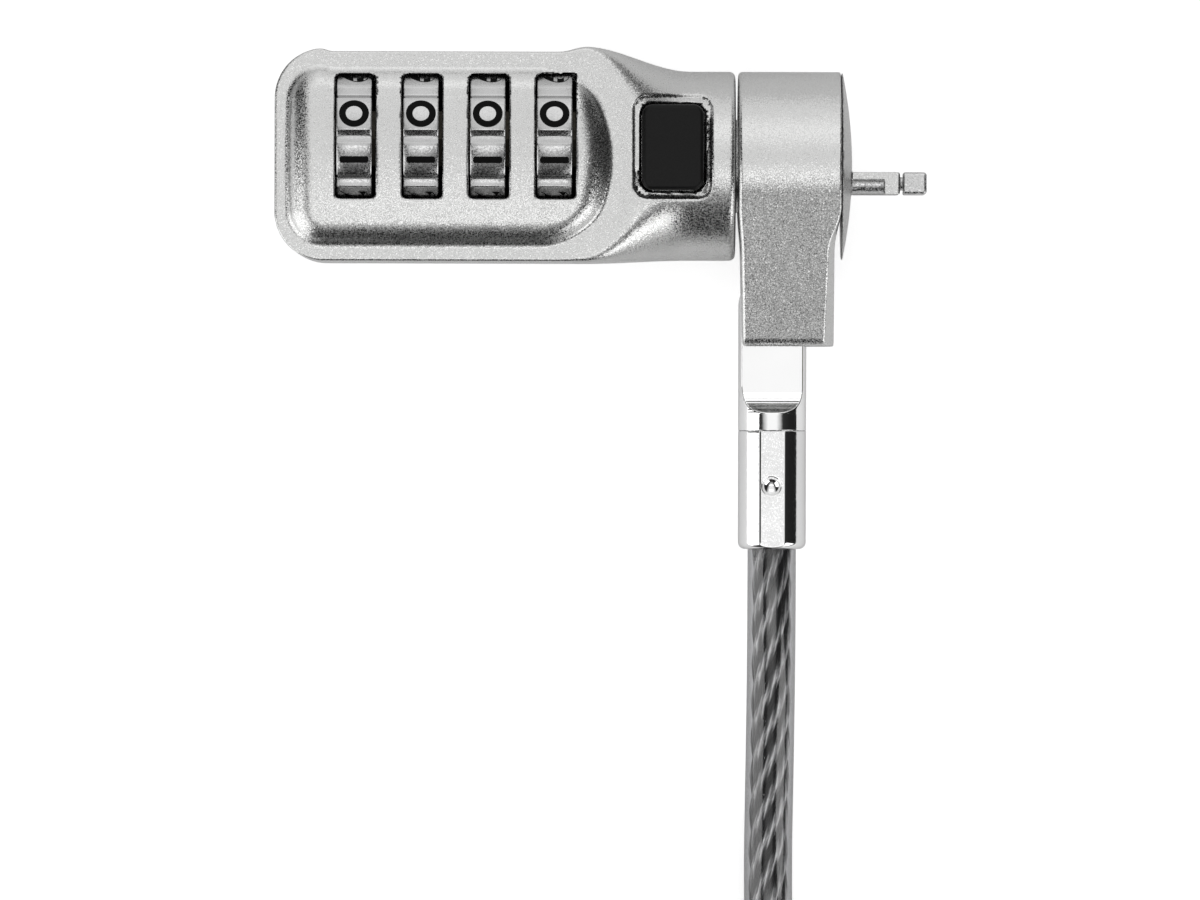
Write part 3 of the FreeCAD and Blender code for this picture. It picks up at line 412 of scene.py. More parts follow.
# The core is painted nearly black, as painted shade in the gaps between the strands.
core_shade = speckled("core_painted_shade", 2500, (0.004,) * 3, (0.02,) * 3, 0.8)
cable_strands.data.materials.append(core_shade)
steel_faces = len(rope_faces) // (strand_count + 1) * strand_count
on_core = (np.arange(len(rope_faces)) >= steel_faces).astype(np.int32)
cable_strands.data.polygons.foreach_set("material_index", on_core)
lay_map = cable_strands.data.uv_layers.new(name="lay")
loop_points = np.empty(len(cable_strands.data.loops), dtype=np.int32)
cable_strands.data.loops.foreach_get("vertex_index", loop_points)
on_ring = loop_points % strand_sides / strand_sides
starts = np.empty(len(cable_strands.data.polygons), dtype=np.int32)
corners = np.empty_like(starts)
cable_strands.data.polygons.foreach_get("loop_start", starts)
cable_strands.data.polygons.foreach_get("loop_total", corners)
far_side = np.concatenate([starts[corners == 4] + 2, starts[corners == 4] + 3])
on_ring[far_side] = np.where(on_ring[far_side] == 0, 1, on_ring[far_side])
along_rope = loop_points // strand_sides % len(rope_points) * (rope_step * MM) * uv_per_metre
on_wires = np.stack([on_ring - wire_slant * along_rope, along_rope], axis=1)
lay_map.data.foreach_set("uv", on_wires.ravel())
# Painted highlight share on the strands: 1 at each strand's crest, falling to 0 on its inner
# side, where the colour is painted as shade.
crest_glint_share = cable_strands.data.attributes.new("crest", "FLOAT", "POINT")
place_on_ring = np.arange(len(cable_strands.data.vertices)) % strand_sides / strand_sides
crest_glint_share.data.foreach_set("value", 0.5 + 0.5 * np.cos(2 * math.pi * place_on_ring))

jacket, add, output, tree = new_material("jacket")
where = add("TexCoord")
cloud = add("TexNoise", Vector=where.outputs["Object"], Scale=260, Detail=4)
tint = add("ValToRGB", Fac=cloud.outputs["Fac"])
tint.color_ramp.elements[0].color = (0.74, 0.74, 0.75, 1)
tint.color_ramp.elements[1].color = (0.86, 0.86, 0.87, 1)
ripple = add("Bump", Height=cloud.outputs["Fac"], Strength=0.2, Distance=0.0001)
clear = add("BsdfTransparent", Color=tint.outputs[0])
shine = add("BsdfPrincipled", Base_Color=(0.11, 0.11, 0.112, 1), Roughness=0.18,
            Normal=ripple.outputs[0])
share = add("LayerWeight", Blend=0.25)
share = add("MapRange", Value=share.outputs["Facing"], To_Min=0.1, To_Max=1.0)
mix = add("MixShader", i0=share.outputs[0], i1=clear.outputs[0], i2=shine.outputs[0])
gloss = add("BsdfGlossy", Color=(1, 1, 1, 1), Roughness=0.12, Normal=ripple.outputs[0])
mix = add("MixShader", Fac=0.07, i1=mix.outputs[0], i2=gloss.outputs[0])
tree.links.new(mix.outputs[0], output.inputs["Surface"])
cable_curve.materials.append(jacket)

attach(cable_jacket, "cable_end")
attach(cable_strands, "cable_end")
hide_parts("cable_lead", "cable_coil", "cable_tail")

# Front housing. A zinc die casting, blasted and then plated with pearl nickel. The raised pad
# with its broad round rim carries the dial windows, and the shoulder draws in to the round neck.


def metal(name, colour, roughness, pit, lean, dull, cloud=0.03, edge=0.8, cut=None):
    """A plated metal: its blasted or ground pits have a size in mm, a slope and a dull floor.

    A cut leaves fine marks across the Y axis between two places, at a pitch in mm.
    """
    cloud_scale = 160
    cut_slope = 0.12
    material, add, output, tree = new_material(name)
    where = add("TexCoord")
    pits = add("TexNoise", Vector=where.outputs["Object"], Scale=1 / (pit * MM), Detail=2,
               Roughness=0.75)
    tilt = add("VectorMath", {"operation": "SUBTRACT"}, i0=pits.outputs["Color"],
               i1=(0.5, 0.5, 0.5))
    tilt = add("VectorMath", {"operation": "MULTIPLY"}, i0=tilt.outputs[0], i1=(lean, lean, lean))
    if cut:
        low, high, pitch = cut
        spot = add("SeparateXYZ", Vector=where.outputs["Object"])
        wave = add("Math", {"operation": "MULTIPLY"}, i0=spot.outputs["Y"],
                   i1=2 * math.pi / (pitch * MM))
        wave = add("Math", {"operation": "SINE"}, i0=wave.outputs[0])
        within = add("Math", {"operation": "COMPARE"}, i0=spot.outputs["Y"],
                     i1=(low + high) / 2 * MM, i2=(high - low) / 2 * MM)
        wave = add("Math", {"operation": "MULTIPLY"}, i0=wave.outputs[0], i1=within.outputs[0])
        wave = add("Math", {"operation": "MULTIPLY"}, i0=wave.outputs[0], i1=cut_slope)
        marks = add("CombineXYZ", Y=wave.outputs[0])
        tilt = add("VectorMath", {"operation": "ADD"}, i0=tilt.outputs[0], i1=marks.outputs[0])
    facing = add("NewGeometry")
    facing = add("VectorMath", {"operation": "ADD"}, i0=facing.outputs["Normal"],
                 i1=tilt.outputs[0])
    facing = add("VectorMath", {"operation": "NORMALIZE"}, i0=facing.outputs[0])
    wide = add("TexNoise", Vector=where.outputs["Object"], Scale=cloud_scale, Detail=4)
    tint = add("ValToRGB", Fac=wide.outputs["Fac"])
    tint.color_ramp.elements[0].position = 0.3
    tint.color_ramp.elements[0].color = (*[c * (1 - cloud) for c in colour], 1)
    tint.color_ramp.elements[1].position = 0.7
    tint.color_ramp.elements[1].color = (*colour, 1)
    rough = add("MapRange", Value=pits.outputs["Fac"], From_Min=0.42, From_Max=0.6,
                To_Min=roughness, To_Max=dull)
    body = add("BsdfPrincipled", Base_Color=tint.outputs[0], Metallic=1,
               Roughness=rough.outputs[0], Specular_Tint=(edge, edge, edge, 1),
               Normal=facing.outputs[0])
    tree.links.new(body.outputs[0], output.inputs["Surface"])
    return material


nickel = metal("pearl_nickel", (0.63, 0.63, 0.625), 0.12, 0.14, 0.85, 0.42)


def inside_round(a, b, r):
    """Where two walls meet in an outer corner of radius r; negative inside."""
    return (np.minimum(np.maximum(a, b), -r)
            + np.hypot(np.maximum(a + r, 0), np.maximum(b + r, 0)))


def joined(a, b, r):
    """Two shapes in one, with a hollow fillet of radius r between them."""
    return (np.maximum(np.minimum(a, b), r)
            - np.hypot(np.maximum(r - a, 0), np.maximum(r - b, 0)))


def less(a, b, r):
    """The first shape with the second cut out of it, the rim rounded by r."""
    return inside_round(a, -b, r)


def slab(p, low, high):
    """The distance to the space between two planes."""
    return np.maximum(low - p, p - high)


def plate(u, v, u0, u1, v0, v1, r):
    """The distance to an upright plate with round corners."""
    a = np.abs(u - (u0 + u1) / 2) - (u1 - u0) / 2 + r
    b = np.abs(v - (v0 + v1) / 2) - (v1 - v0) / 2 + r
    return np.hypot(np.maximum(a, 0), np.maximum(b, 0)) + np.minimum(np.maximum(a, b), 0) - r


def rise(p, low, high):
    """An S-shaped rise from 0 to 1 between two places."""
    share = np.clip((p - low) / (high - low), 0, 1)
    return share * share * (3 - 2 * share)


def crossed_cells(value, start, cell):
    """A point in each cell of a grid of distances that the surface crosses, and quads between."""
    shape = np.array(value.shape) - 1
    total = np.zeros((*shape, 3))
    count = np.zeros(shape)
    for axis in range(3):
        across = [a for a in range(3) if a != axis]
        for u in (0, 1):
            for v in (0, 1):
                first = [slice(0, n) for n in shape]
                first[across[0]] = slice(u, shape[across[0]] + u)
                first[across[1]] = slice(v, shape[across[1]] + v)
                second = list(first)
                second[axis] = slice(1, shape[axis] + 1)
                a = value[tuple(first)]
                b = value[tuple(second)]
                hit = (a < 0) != (b < 0)
                share = np.where(hit, a / np.where(hit, a - b, 1), 0)
                total[..., axis] += share
                total[..., across[0]] += np.where(hit, u, 0)
                total[..., across[1]] += np.where(hit, v, 0)
                count += hit
    cells = np.argwhere(count > 0)
    keep = tuple(cells.T)
    points = (cells + total[keep] / count[keep][:, None]) * cell + start
    number = np.full(shape, -1)
    number[keep] = np.arange(len(cells))
    faces = []
    for axis in range(3):
        u, v = ((1, 2), (2, 0), (0, 1))[axis]
        inner = [slice(1, n) for n in shape]
        inner[axis] = slice(0, shape[axis])
        far = list(inner)
        far[axis] = slice(1, shape[axis] + 1)
        near_in = value[tuple(inner)] < 0
        far_in = value[tuple(far)] < 0
        for hit, order in ((near_in & ~far_in, (0, 1, 2, 3)), (far_in & ~near_in, (3, 2, 1, 0))):
            spots = np.argwhere(hit)
            spots[:, u] += 1
            spots[:, v] += 1
            quads = []
            for du, dv in ((-1, -1), (0, -1), (0, 0), (-1, 0)):
                spot = spots.copy()
                spot[:, u] += du
                spot[:, v] += dv
                quads.append(number[tuple(spot.T)])
            quads = np.stack(quads, axis=1)
            faces.append(quads[:, order])
    return points, np.concatenate(faces)


def cast_piece(name, field, low, high, cell, material):
    """A closed mesh of the surface where a distance field is zero, its normals from the field."""
    grid_lead = 1.37
    longest_move = 0.4 * cell
    weld_reach = 0.02 * cell * MM
    axes = [np.arange(a - grid_lead * cell, b + 2 * cell, cell) for a, b in zip(low, high)]
    points, faces = crossed_cells(field(*np.meshgrid(*axes, indexing="ij")),
                                  np.array([axis[0] for axis in axes]), cell)

    def slope(places, reach):
        way = np.empty_like(places)
        for axis in range(3):
            ahead = places.copy()
            behind = places.copy()
            ahead[:, axis] += reach
            behind[:, axis] -= reach
            way[:, axis] = (field(*ahead.T) - field(*behind.T)) / (2 * reach)
        return way

    for _ in range(4):
        way = slope(points, reach=0.02)
        size = np.maximum(np.sum(way * way, axis=1), 0.25)
        move = way * (field(*points.T) / size)[:, None]
        points -= np.clip(move, -longest_move, longest_move)
    mesh = bpy.data.meshes.new(name)
    mesh.from_pydata((points * MM).tolist(), [], faces.tolist())
    tidy = bmesh.new()
    tidy.from_mesh(mesh)
    bmesh.ops.remove_doubles(tidy, verts=tidy.verts, dist=weld_reach)
    bmesh.ops.dissolve_degenerate(tidy, edges=tidy.edges, dist=weld_reach)
    tidy.to_mesh(mesh)
    tidy.free()
    mesh.shade_smooth()
    ends = np.empty(len(mesh.vertices) * 3)
    mesh.vertices.foreach_get("co", ends)
    ways = slope(ends.reshape(-1, 3) / MM, reach=0.05)
    ways /= np.maximum(np.linalg.norm(ways, axis=1, keepdims=True), 1e-9)
    mesh.normals_split_custom_set_from_vertices(ways.tolist())
    mesh.materials.append(material)
    thing = bpy.data.objects.new(name, mesh)
    bpy.context.scene.collection.objects.link(thing)
    return thing


head_left = -20.1
head_half = 11.8
head_top = 20.6
head_corner = 5.5
pad_top = 22.6
shoulder_start = 14.2
neck_start = 26.1
neck_end = 31.1
neck_radius = 10.55
swivel_y = -1.0
swivel_z = 10.6
dial_y = 2.0
dial_z = 15.7
dial_centres = [-11.1, -3.7, 3.7, 11.1]
button_x = 24.1
button_y = 0.9
well_floor = 16.4
nose_pin_x = 29.25
nose_pin_y = 2.2


def head_field(x, y, z):
    """The outside of the housing, before anything is cut into it."""
    grip_depth = 0.33
    grip = rise(x, -15.2, -13.6) * (1 - rise(x, 11.6, 14.4)) * grip_depth
    y = y + np.where(y > 0, grip, 0)
    plan = plate(x, y, head_left, 60, -head_half, head_half, head_corner)
    block = inside_round(inside_round(plan, z - head_top, 0.25), -z, 0.4)
    s = rise(x, shoulder_start, neck_start)
    low = -head_half + (swivel_y - neck_radius + head_half) * s
    far_start = 12.05
    high = far_start + (swivel_y + neck_radius - far_start) * s
    bottom = (swivel_z - neck_radius) * s
    top = head_top + (swivel_z + neck_radius - head_top) * s
    corner = 0.45 + (neck_radius - 0.55) * s
    draw = plate(y, z, low, high, bottom, top, corner)
    shoulder = inside_round(draw, x - neck_end, 0.7)
    mix = rise(x, shoulder_start - 3.0, shoulder_start + 1.0)
    body = block * (1 - mix) + shoulder * mix
    pad_inset = 1.3
    pad_middle = -0.5
    bow = 3.3
    bow_tip = 18.3
    half = head_half - pad_inset
    bow_radius = (half * half + bow * bow) / (2 * bow)
    bow_line = np.hypot(np.maximum(x - bow_tip + bow_radius, 0), y - pad_middle) - bow_radius
    pad_plan = inside_round(plate(x, y, head_left + pad_inset, 60, -half, half,
                                  head_corner - pad_inset), bow_line, 5)
    rim = 3.0 + 2.0 * rise(x, 9.5, 17)
    crown_radius = 55
    crown = (y - pad_middle) ** 2 / (2 * crown_radius)
    pad = inside_round(pad_plan, z - pad_top + crown, rim)
    pad = np.maximum(pad, 12 - z)
    return joined(body, pad, 0.35)


def housing_field(x, y, z):
    """The housing with its windows, dial bay, button pocket, bores and back rebate."""
    outside = head_field(x, y, z)
    body = outside
    window_half = 2.25
    for c in dial_centres:
        window = np.maximum(plate(x - c, y - dial_y, -window_half, window_half, -6.9, 6.9, 0.5),
                            20 - z)
        body = less(body, window, 0.16)
    bay = np.maximum(plate(x, y, -17.6, 14.3, -10.1, 10.55, 1.5), slab(z, 1, 19.6))
    bearing_walls = [(-14.6, -13.35), (-8.85, -5.95), (-1.45, 1.45), (5.95, 8.85), (13.35, 15)]
    for low, high in bearing_walls:
        bay = np.maximum(bay, -np.maximum(slab(x, low, high), dial_z - z))
    from_dials = np.hypot(y - dial_y, z - dial_z)
    bearing = np.maximum(from_dials - 5.25, slab(x, -18, 14.9))
    for c in dial_centres:
        room = np.maximum(from_dials - 8.55, slab(x - c, -window_half, window_half))
        bay = np.minimum(bay, room)
    body = np.maximum(body, -np.minimum(bay, bearing))
    u = x - button_x
    v = y - button_y
    low_dip = rise(v, -6.2, -5.1) * (1 - rise(v, -4.9, -1.9))
    side_dip = rise(u, 0.5, 3.4) * (1 - rise(u, 3.8, 4.8)) * (1 - rise(v, 1.6, 4.8))
    depth = 0.14 + 0.75 * low_dip + 0.45 * side_dip
    pocket = np.maximum(plate(u, v, -4.2, 4.2, -5.6, 5.6, 1.5), -outside - depth)
    pocket = np.maximum(pocket, well_floor - z)
    well = np.maximum(plate(u, v, -3.65, 3.65, -4.95, 4.95, 1.4), well_floor - z)
    body = less(less(body, pocket, 0.45), well, 0.15)
    inner = np.maximum(np.maximum(slab(x, 14, 27.4), slab(y, -6.4, 4.4)), slab(z, 2.8, 14.9))
    stem = np.maximum(np.maximum(slab(u, -2, 2), slab(v, -2.9, 2.9)), slab(z, 4, 18))
    neck = np.maximum(np.hypot(y - swivel_y, z - swivel_z) - 5.2, 27 - x)
    pin = np.maximum(np.hypot(x - nose_pin_x, y - nose_pin_y) - 0.8, z - 15.8)
    reset = np.maximum(from_dials - 3.7, x + 17)
    cover = np.maximum(plate(x, y, -18.8, 17.6, -10.5, 10.5, 4), z - 1.6)
    for hollow in (inner, stem, neck, pin, cover):
        body = np.maximum(body, -hollow)
    return less(body, reset, 0.2)


front_case = cast_piece("front_case", housing_field, (-20.2, -12, 0), (31.2, 12.2, 22.7), 0.3,
                        nickel)
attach(front_case, "lock_head")
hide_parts("front_housing")

# Dials. Turned rings with ten crowned facets for the numerals and a scooped finger groove between
# each pair, satin plated. The numerals lie on their sides across the facets, filled with black.
satin = metal("satin_plate", (0.56, 0.56, 0.56), 0.16, 0.2, 0.25, 0.34, cloud=0.12, edge=0.85)
dial_radius = 8.3
dial_width = 3.9
dial_shift = -0.12
facet_middle = 17.6
facet_share = 0.71
groove_depth = 0.5
sleeve_middle = 15.0
sleeve_flat = 4.95
tenth = 36
numeral_height = 3.2
numeral_half = 0.1
numeral_sunk = 0.088
paint = speckled("black_fill", 3000, (0.001,) * 3, (0.005,) * 3, 0.55, specular=0.08)


def round_the_axis(angle, radius):
    """A point beside the dial's axis, by its angle in degrees from straight up."""
    a = math.radians(angle)
    return radius * math.sin(a), radius * math.cos(a)


def dial_sector(name, centre):
    """A tenth of a dial: one facet, the groove after it, both side faces and the bore."""
    half = tenth / 2 * facet_share
    rim = [(facet_middle + half * k / 5, dial_radius) for k in range(-5, 6)]
    for spot, share in ((-0.93, 0.05), (-0.84, 0.18), (-0.16, 0.94), (0, 1), (0.16, 0.94),
                        (0.84, 0.18), (0.93, 0.05)):
        rim.append((facet_middle + tenth / 2 + (tenth / 2 - half) * spot,
                    dial_radius - groove_depth * share))
    rim.append((facet_middle - half + tenth, dial_radius))
    across = [(-0.5, -0.16), (-0.488, -0.05), (-0.46, 0), (0.46, 0), (0.488, -0.05), (0.5, -0.16)]
    seam = facet_middle - half - sleeve_middle
    bore = [(sleeve_middle + seam, sleeve_flat / math.cos(math.radians(seam))),
            (sleeve_middle + tenth / 2, sleeve_flat / math.cos(math.radians(tenth / 2))),
            (sleeve_middle + seam + tenth, sleeve_flat / math.cos(math.radians(seam)))]
    points = [(centre + side * dial_width, *round_the_axis(angle, radius + drop))
              for side, drop in across for angle, radius in rim]
    points += [(centre + side * dial_width, *round_the_axis(angle, radius))
               for side in (-0.5, 0.5) for angle, radius in bore]
    wide = len(rim)
    faces = []
    for row in range(len(across) - 1):
        for i in range(wide - 1):
            a = row * wide + i
            faces.append((a, a + 1, a + wide + 1, a + wide))
    first = wide * len(across)
    faces += [(first + 1, first, first + 3, first + 4),
              (first + 2, first + 1, first + 4, first + 5)]
    faces.append(tuple([first, first + 1, first + 2] + list(reversed(range(wide)))))
    last = first - wide
    faces.append(tuple([first + 5, first + 4, first + 3] + list(range(last, last + wide))))
    mesh = bpy.data.meshes.new(name)
    mesh.from_pydata([tuple(c * MM for c in p) for p in points], [], faces)
    thing = bpy.data.objects.new(name, mesh)
    bpy.context.scene.collection.objects.link(thing)
    return thing


ring_tree = bpy.data.node_groups.new("sectors_round_an_axis", "GeometryNodeTree")
sockets = {}
for label, way, kind in (("Sector", "INPUT", "Geometry"), ("Count", "INPUT", "Int"),
                         ("Place", "INPUT", "Vector"), ("Finish", "INPUT", "Material"),
                         ("Ring", "OUTPUT", "Geometry")):
    sockets[label] = ring_tree.interface.new_socket(label, in_out=way,
                                                    socket_type="NodeSocket" + kind).identifier
given = ring_tree.nodes.new("NodeGroupInput")
places = ring_tree.nodes.new("GeometryNodePoints")
number = ring_tree.nodes.new("GeometryNodeInputIndex")
step = ring_tree.nodes.new("ShaderNodeMath")
step.operation = "DIVIDE"
step.inputs[0].default_value = 2 * math.pi
angle = ring_tree.nodes.new("ShaderNodeMath")
angle.operation = "MULTIPLY"
turn = ring_tree.nodes.new("ShaderNodeCombineXYZ")
copies = ring_tree.nodes.new("GeometryNodeInstanceOnPoints")
real = ring_tree.nodes.new("GeometryNodeRealizeInstances")
weld = ring_tree.nodes.new("GeometryNodeMergeByDistance")
weld.inputs["Distance"].default_value = 1e-6
shift = ring_tree.nodes.new("GeometryNodeTransform")
coat = ring_tree.nodes.new("GeometryNodeSetMaterial")
result = ring_tree.nodes.new("NodeGroupOutput")
for source, target in (
        (given.outputs["Count"], places.inputs["Count"]),
        (given.outputs["Count"], step.inputs[1]),
        (number.outputs[0], angle.inputs[0]),
        (step.outputs[0], angle.inputs[1]),
        (angle.outputs[0], turn.inputs["X"]),
        (places.outputs[0], copies.inputs["Points"]),
        (given.outputs["Sector"], copies.inputs["Instance"]),
        (turn.outputs[0], copies.inputs["Rotation"]),
        (copies.outputs[0], real.inputs[0]),
        (real.outputs[0], weld.inputs["Geometry"]),
        (weld.outputs[0], shift.inputs["Geometry"]),
        (given.outputs["Place"], shift.inputs["Translation"]),
        (shift.outputs[0], coat.inputs["Geometry"]),
        (given.outputs["Finish"], coat.inputs["Material"]),
        (coat.outputs[0], result.inputs[0])):
    ring_tree.links.new(source, target)


def numeral_mesh(digit):
    """A numeral of the plain font, a little bolder, centred, as points and faces."""
    text = bpy.data.curves.new("numeral", "FONT")
    text.body = str(digit)
    text.size = 4.4
    text.offset = 0.1
    text.extrude = numeral_half
    holder = bpy.data.objects.new("numeral", text)
    bpy.context.scene.collection.objects.link(holder)
    bpy.context.view_layer.update()
    mesh = bpy.data.meshes.new_from_object(holder)
    bpy.data.objects.remove(holder)
    points = np.array([v.co for v in mesh.vertices])
    faces = [tuple(p.vertices) for p in mesh.polygons]
    bpy.data.meshes.remove(mesh)
    low = points.min(axis=0)
    high = points.max(axis=0)
    points -= (low + high) / 2
    points[:, 1] *= numeral_height / (high[1] - low[1])
    return points, faces


def ring_numeral():
    """The nought, a broad ring nearly as wide as tall."""
    count = 48
    points = [(wide * math.cos(a), tall * math.sin(a), z) for z in (-numeral_half, numeral_half)
              for wide, tall in ((1.57, 1.66), (0.85, 0.92))
              for a in np.linspace(0, 2 * math.pi, count + 1)[:-1]]
    faces = []
    for i in range(count):
        j = (i + 1) % count
        for a, b in ((0, 1), (1, 3), (3, 2), (2, 0)):
            faces.append((a * count + i, a * count + j, b * count + j, b * count + i))
    return np.array(points), faces


def dash_numeral():
    """The one, a plain stroke."""
    outline = [(-0.38, -1.45), (-0.2, -1.6), (0.2, -1.6), (0.38, -1.45), (0.38, 1.45), (0.2, 1.6),
               (-0.2, 1.6), (-0.38, 1.45)]
    points = [(x, y, z) for z in (-numeral_half, numeral_half) for x, y in outline]
    faces = [tuple(reversed(range(8))), tuple(range(8, 16))]
    faces += [(i, (i + 1) % 8, 8 + (i + 1) % 8, 8 + i) for i in range(8)]
    return np.array(points), faces


numerals = [ring_numeral(), dash_numeral()] + [numeral_mesh(d) for d in range(2, 10)]
for number, centre in enumerate(dial_centres, 1):
    thing = dial_sector("dial_ring_%d" % number, centre + dial_shift)
    maker = thing.modifiers.new("ring", "NODES")
    maker.node_group = ring_tree
    maker[sockets["Count"]] = 360 // tenth
    maker[sockets["Place"]] = (0, dial_y * MM, dial_z * MM)
    maker[sockets["Finish"]] = satin
    bpy.context.view_layer.update()
    graph = bpy.context.evaluated_depsgraph_get()
    sector = thing.data
    thing.data = bpy.data.meshes.new_from_object(thing.evaluated_get(graph))
    thing.modifiers.clear()
    bpy.data.meshes.remove(sector)
    ring = bmesh.new()
    ring.from_mesh(thing.data)
    bmesh.ops.recalc_face_normals(ring, faces=ring.faces)
    ring.to_mesh(thing.data)
    ring.free()
    thing.data.shade_smooth()
    thing.data.set_sharp_from_angle(angle=math.radians(32))
    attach(thing, "dial_%d" % number)
    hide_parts("dial_%d" % number)
    all_points = []
    all_faces = []
    for digit, (points, faces) in enumerate(numerals):
        a = math.radians(facet_middle - tenth * digit) - points[:, 0] / dial_radius
        out = dial_radius - numeral_sunk + points[:, 2]
        placed = np.stack([centre + dial_shift + points[:, 1], dial_y + out * np.sin(a),
                           dial_z + out * np.cos(a)], axis=1)
        first = sum(len(p) for p in all_points)
        all_points.append(placed * MM)
        all_faces += [tuple(first + k for k in f) for f in faces]
    fill = mesh_object("numerals_%d" % number, np.concatenate(all_points), all_faces, paint,
                       smooth=False)
    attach(fill, "dial_%d" % number)

# Push button. A moulded nylon cap, matt black with rounded edges, pressed on the slider's stem.
# It rides with the slider and sinks into its pocket.
nylon = speckled("black_nylon", 6000, (0.003,) * 3, (0.009,) * 3, 0.38, specular=0.16, grain=2e-5)


def cap_field(x, y, z):
    """The cap, crowned a little, with the hollow for the stem."""
    u = x - button_x
    v = y - button_y
    side = plate(u, v, -3.45, 3.45, -4.75, 4.75, 1.2)
    crown = z - 21.5 + 0.004 * (u ** 2 + v ** 2)
    cap = np.maximum(inside_round(side, crown, 0.5), 19.1 - z)
    stem = np.maximum(plate(u, v, -1.9, 1.9, -2.8, 2.8, 0.2), z - 20.3)
    return np.maximum(cap, -stem)


button = cast_piece("push_button", cap_field, (20.6, -3.9, 19), (27.6, 5.7, 21.6), 0.14, nylon)
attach(button, "button")
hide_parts("button_cap")

# Collar. The second casting, plated like the head: it turns on the nose's stem, and its leg is
# slotted for the cable's fitting, which folds on a steel pin.
pivot_x = 35.3
pivot_y = -16.7
leg_end = -21.1
leg_face = 42.1
barrel_face = 42.85


def collar_field(x, y, z):
    """The barrel and its tapering leg, with the bore, the slot and the pin's hole."""
    across = np.abs(z - swivel_z)
    down = y - swivel_y
    taper_cos = 0.958
    taper_sin = 0.2867
    along_leg = -taper_cos * down - taper_sin * across
    outside = np.where(along_leg > 0, taper_cos * across - taper_sin * down,
                       np.hypot(down, across)) - neck_radius
    outside = inside_round(outside, leg_end - y, 0.9)
    below = rise(-y, 5.5, 10.5)
    left_side = 31.4 + 0.25 * below + 0.02 * np.maximum(-8 - y, 0) - x
    lean_in = 0.87 * (x - 41.35 - 0.04 * (y + 8))
    draft = np.maximum(lean_in + 0.5 * (z - swivel_z - 9.2 - 0.3 * (y + 8)),
                       lean_in - 0.5 * (z - swivel_z + 9.2 + 0.3 * (y + 8)))
    right_side = (x - barrel_face) * (1 - below) + np.maximum(draft, x - leg_face) * below
    body = inside_round(inside_round(outside, left_side, 0.5), right_side, 0.2)
    body = np.maximum(body, 5.3 - np.hypot(down, across))
    reach = np.hypot(x - pivot_x, y - pivot_y) - 3.95
    slot = np.minimum(reach, np.maximum(slab(x, 20, 39.25), y - pivot_y))
    slot = np.minimum(slot, np.maximum(x - pivot_x, slab(y, pivot_y - 1, -12.75)))
    body = less(body, np.maximum(slot, across - 1.85), 0.12)
    pin = np.maximum(np.hypot(x - pivot_x, y - pivot_y) - 1.5, z - 14.65)
    return np.maximum(body, -pin)


swivel_collar = cast_piece("swivel_collar", collar_field, (31.3, -21.2, 0), (43, 9.7, 21.2), 0.25,
                           nickel)
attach(swivel_collar, "collar")
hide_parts("collar")

# Nose. The domed disc that keeps the collar on, turned with its stem, and the two guide prongs
# that stand in the slot of whatever the lock is put into. The T-bar runs between them.
tip_y = -2.9
stem_radius = 5.2
dome_rise = 1.1
nose_face = 44.15
prong_start = 43.3
prong_end = 49.45
guide_half = 1.25
guide_reach = 3.2


def nose_field(x, y, z):
    """Stem, domed disc and prongs, with the bore of the turning shaft and the pin's hole."""
    ring = np.hypot(y - swivel_y, z - swivel_z)
    stem = np.maximum(ring - stem_radius, slab(x, 27.6, prong_start))
    bulge = (neck_radius ** 2 + dome_rise ** 2) / (2 * dome_rise)
    dome = np.sqrt((x - nose_face + bulge) ** 2 + ring ** 2) - bulge
    disc = inside_round(inside_round(ring - neck_radius, dome, 0.2), 42.92 - x, 0.04)
    edge = np.maximum(np.abs(y - tip_y) - guide_half, np.abs(z - swivel_z) - guide_reach)
    prong = inside_round(edge, x - prong_end, 0.25)
    prong = np.maximum(prong, prong_start - x)
    step = np.maximum(np.maximum(slab(x, nose_face, nose_face + 3.5), y - tip_y - 0.35),
                      swivel_z - z)
    prong = less(prong, step, 0.12)
    channel = np.maximum(np.abs(z - swivel_z) - 1.25, nose_face - 0.1 - x)
    body = np.minimum(np.minimum(stem, disc), np.maximum(prong, -channel))
    shaft = np.hypot(y - tip_y, z - swivel_z) - 1.25
    pin = np.maximum(np.hypot(x - nose_pin_x, y - nose_pin_y) - 0.8, z - 15.8)
    return np.maximum(np.maximum(body, -shaft), -pin)


nose_piece = cast_piece("nose_piece", nose_field, (27.5, -11.7, 0), (49.6, 9.7, 21.3), 0.22,
                        nickel)
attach(nose_piece, "lock_head")
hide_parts("nose")

# T-bar. A hardened steel shaft with a hammer head that goes into the slot edge-on and is turned a
# quarter when the button is pressed. Polished and plated.


def hammer_field(x, y, z):
    """The shaft, and the head with its rounded end."""
    shaft = np.maximum(np.hypot(y - tip_y, z - swivel_z) - np.where(x < 49.5, 1.15, 0.75),
                       slab(x, 26.2, 50.3))
    head = plate(y, z, tip_y - guide_half, tip_y + guide_half, swivel_z - guide_reach,
                 swivel_z + guide_reach, 0.45)
    head = inside_round(inside_round(head, x - 52.45, 0.4), 49.85 - x, 0.15)
    return joined(shaft, head, 0.1)


hardened = metal("hardened_shaft", (0.6, 0.6, 0.6), 0.14, 0.2, 0.6, 0.5)
hammer = cast_piece("hammer_bar", hammer_field, (26, -4.3, 7.2), (52.6, -1.5, 14), 0.12, hardened)
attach(hammer, "t_bar")
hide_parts("t_bar")

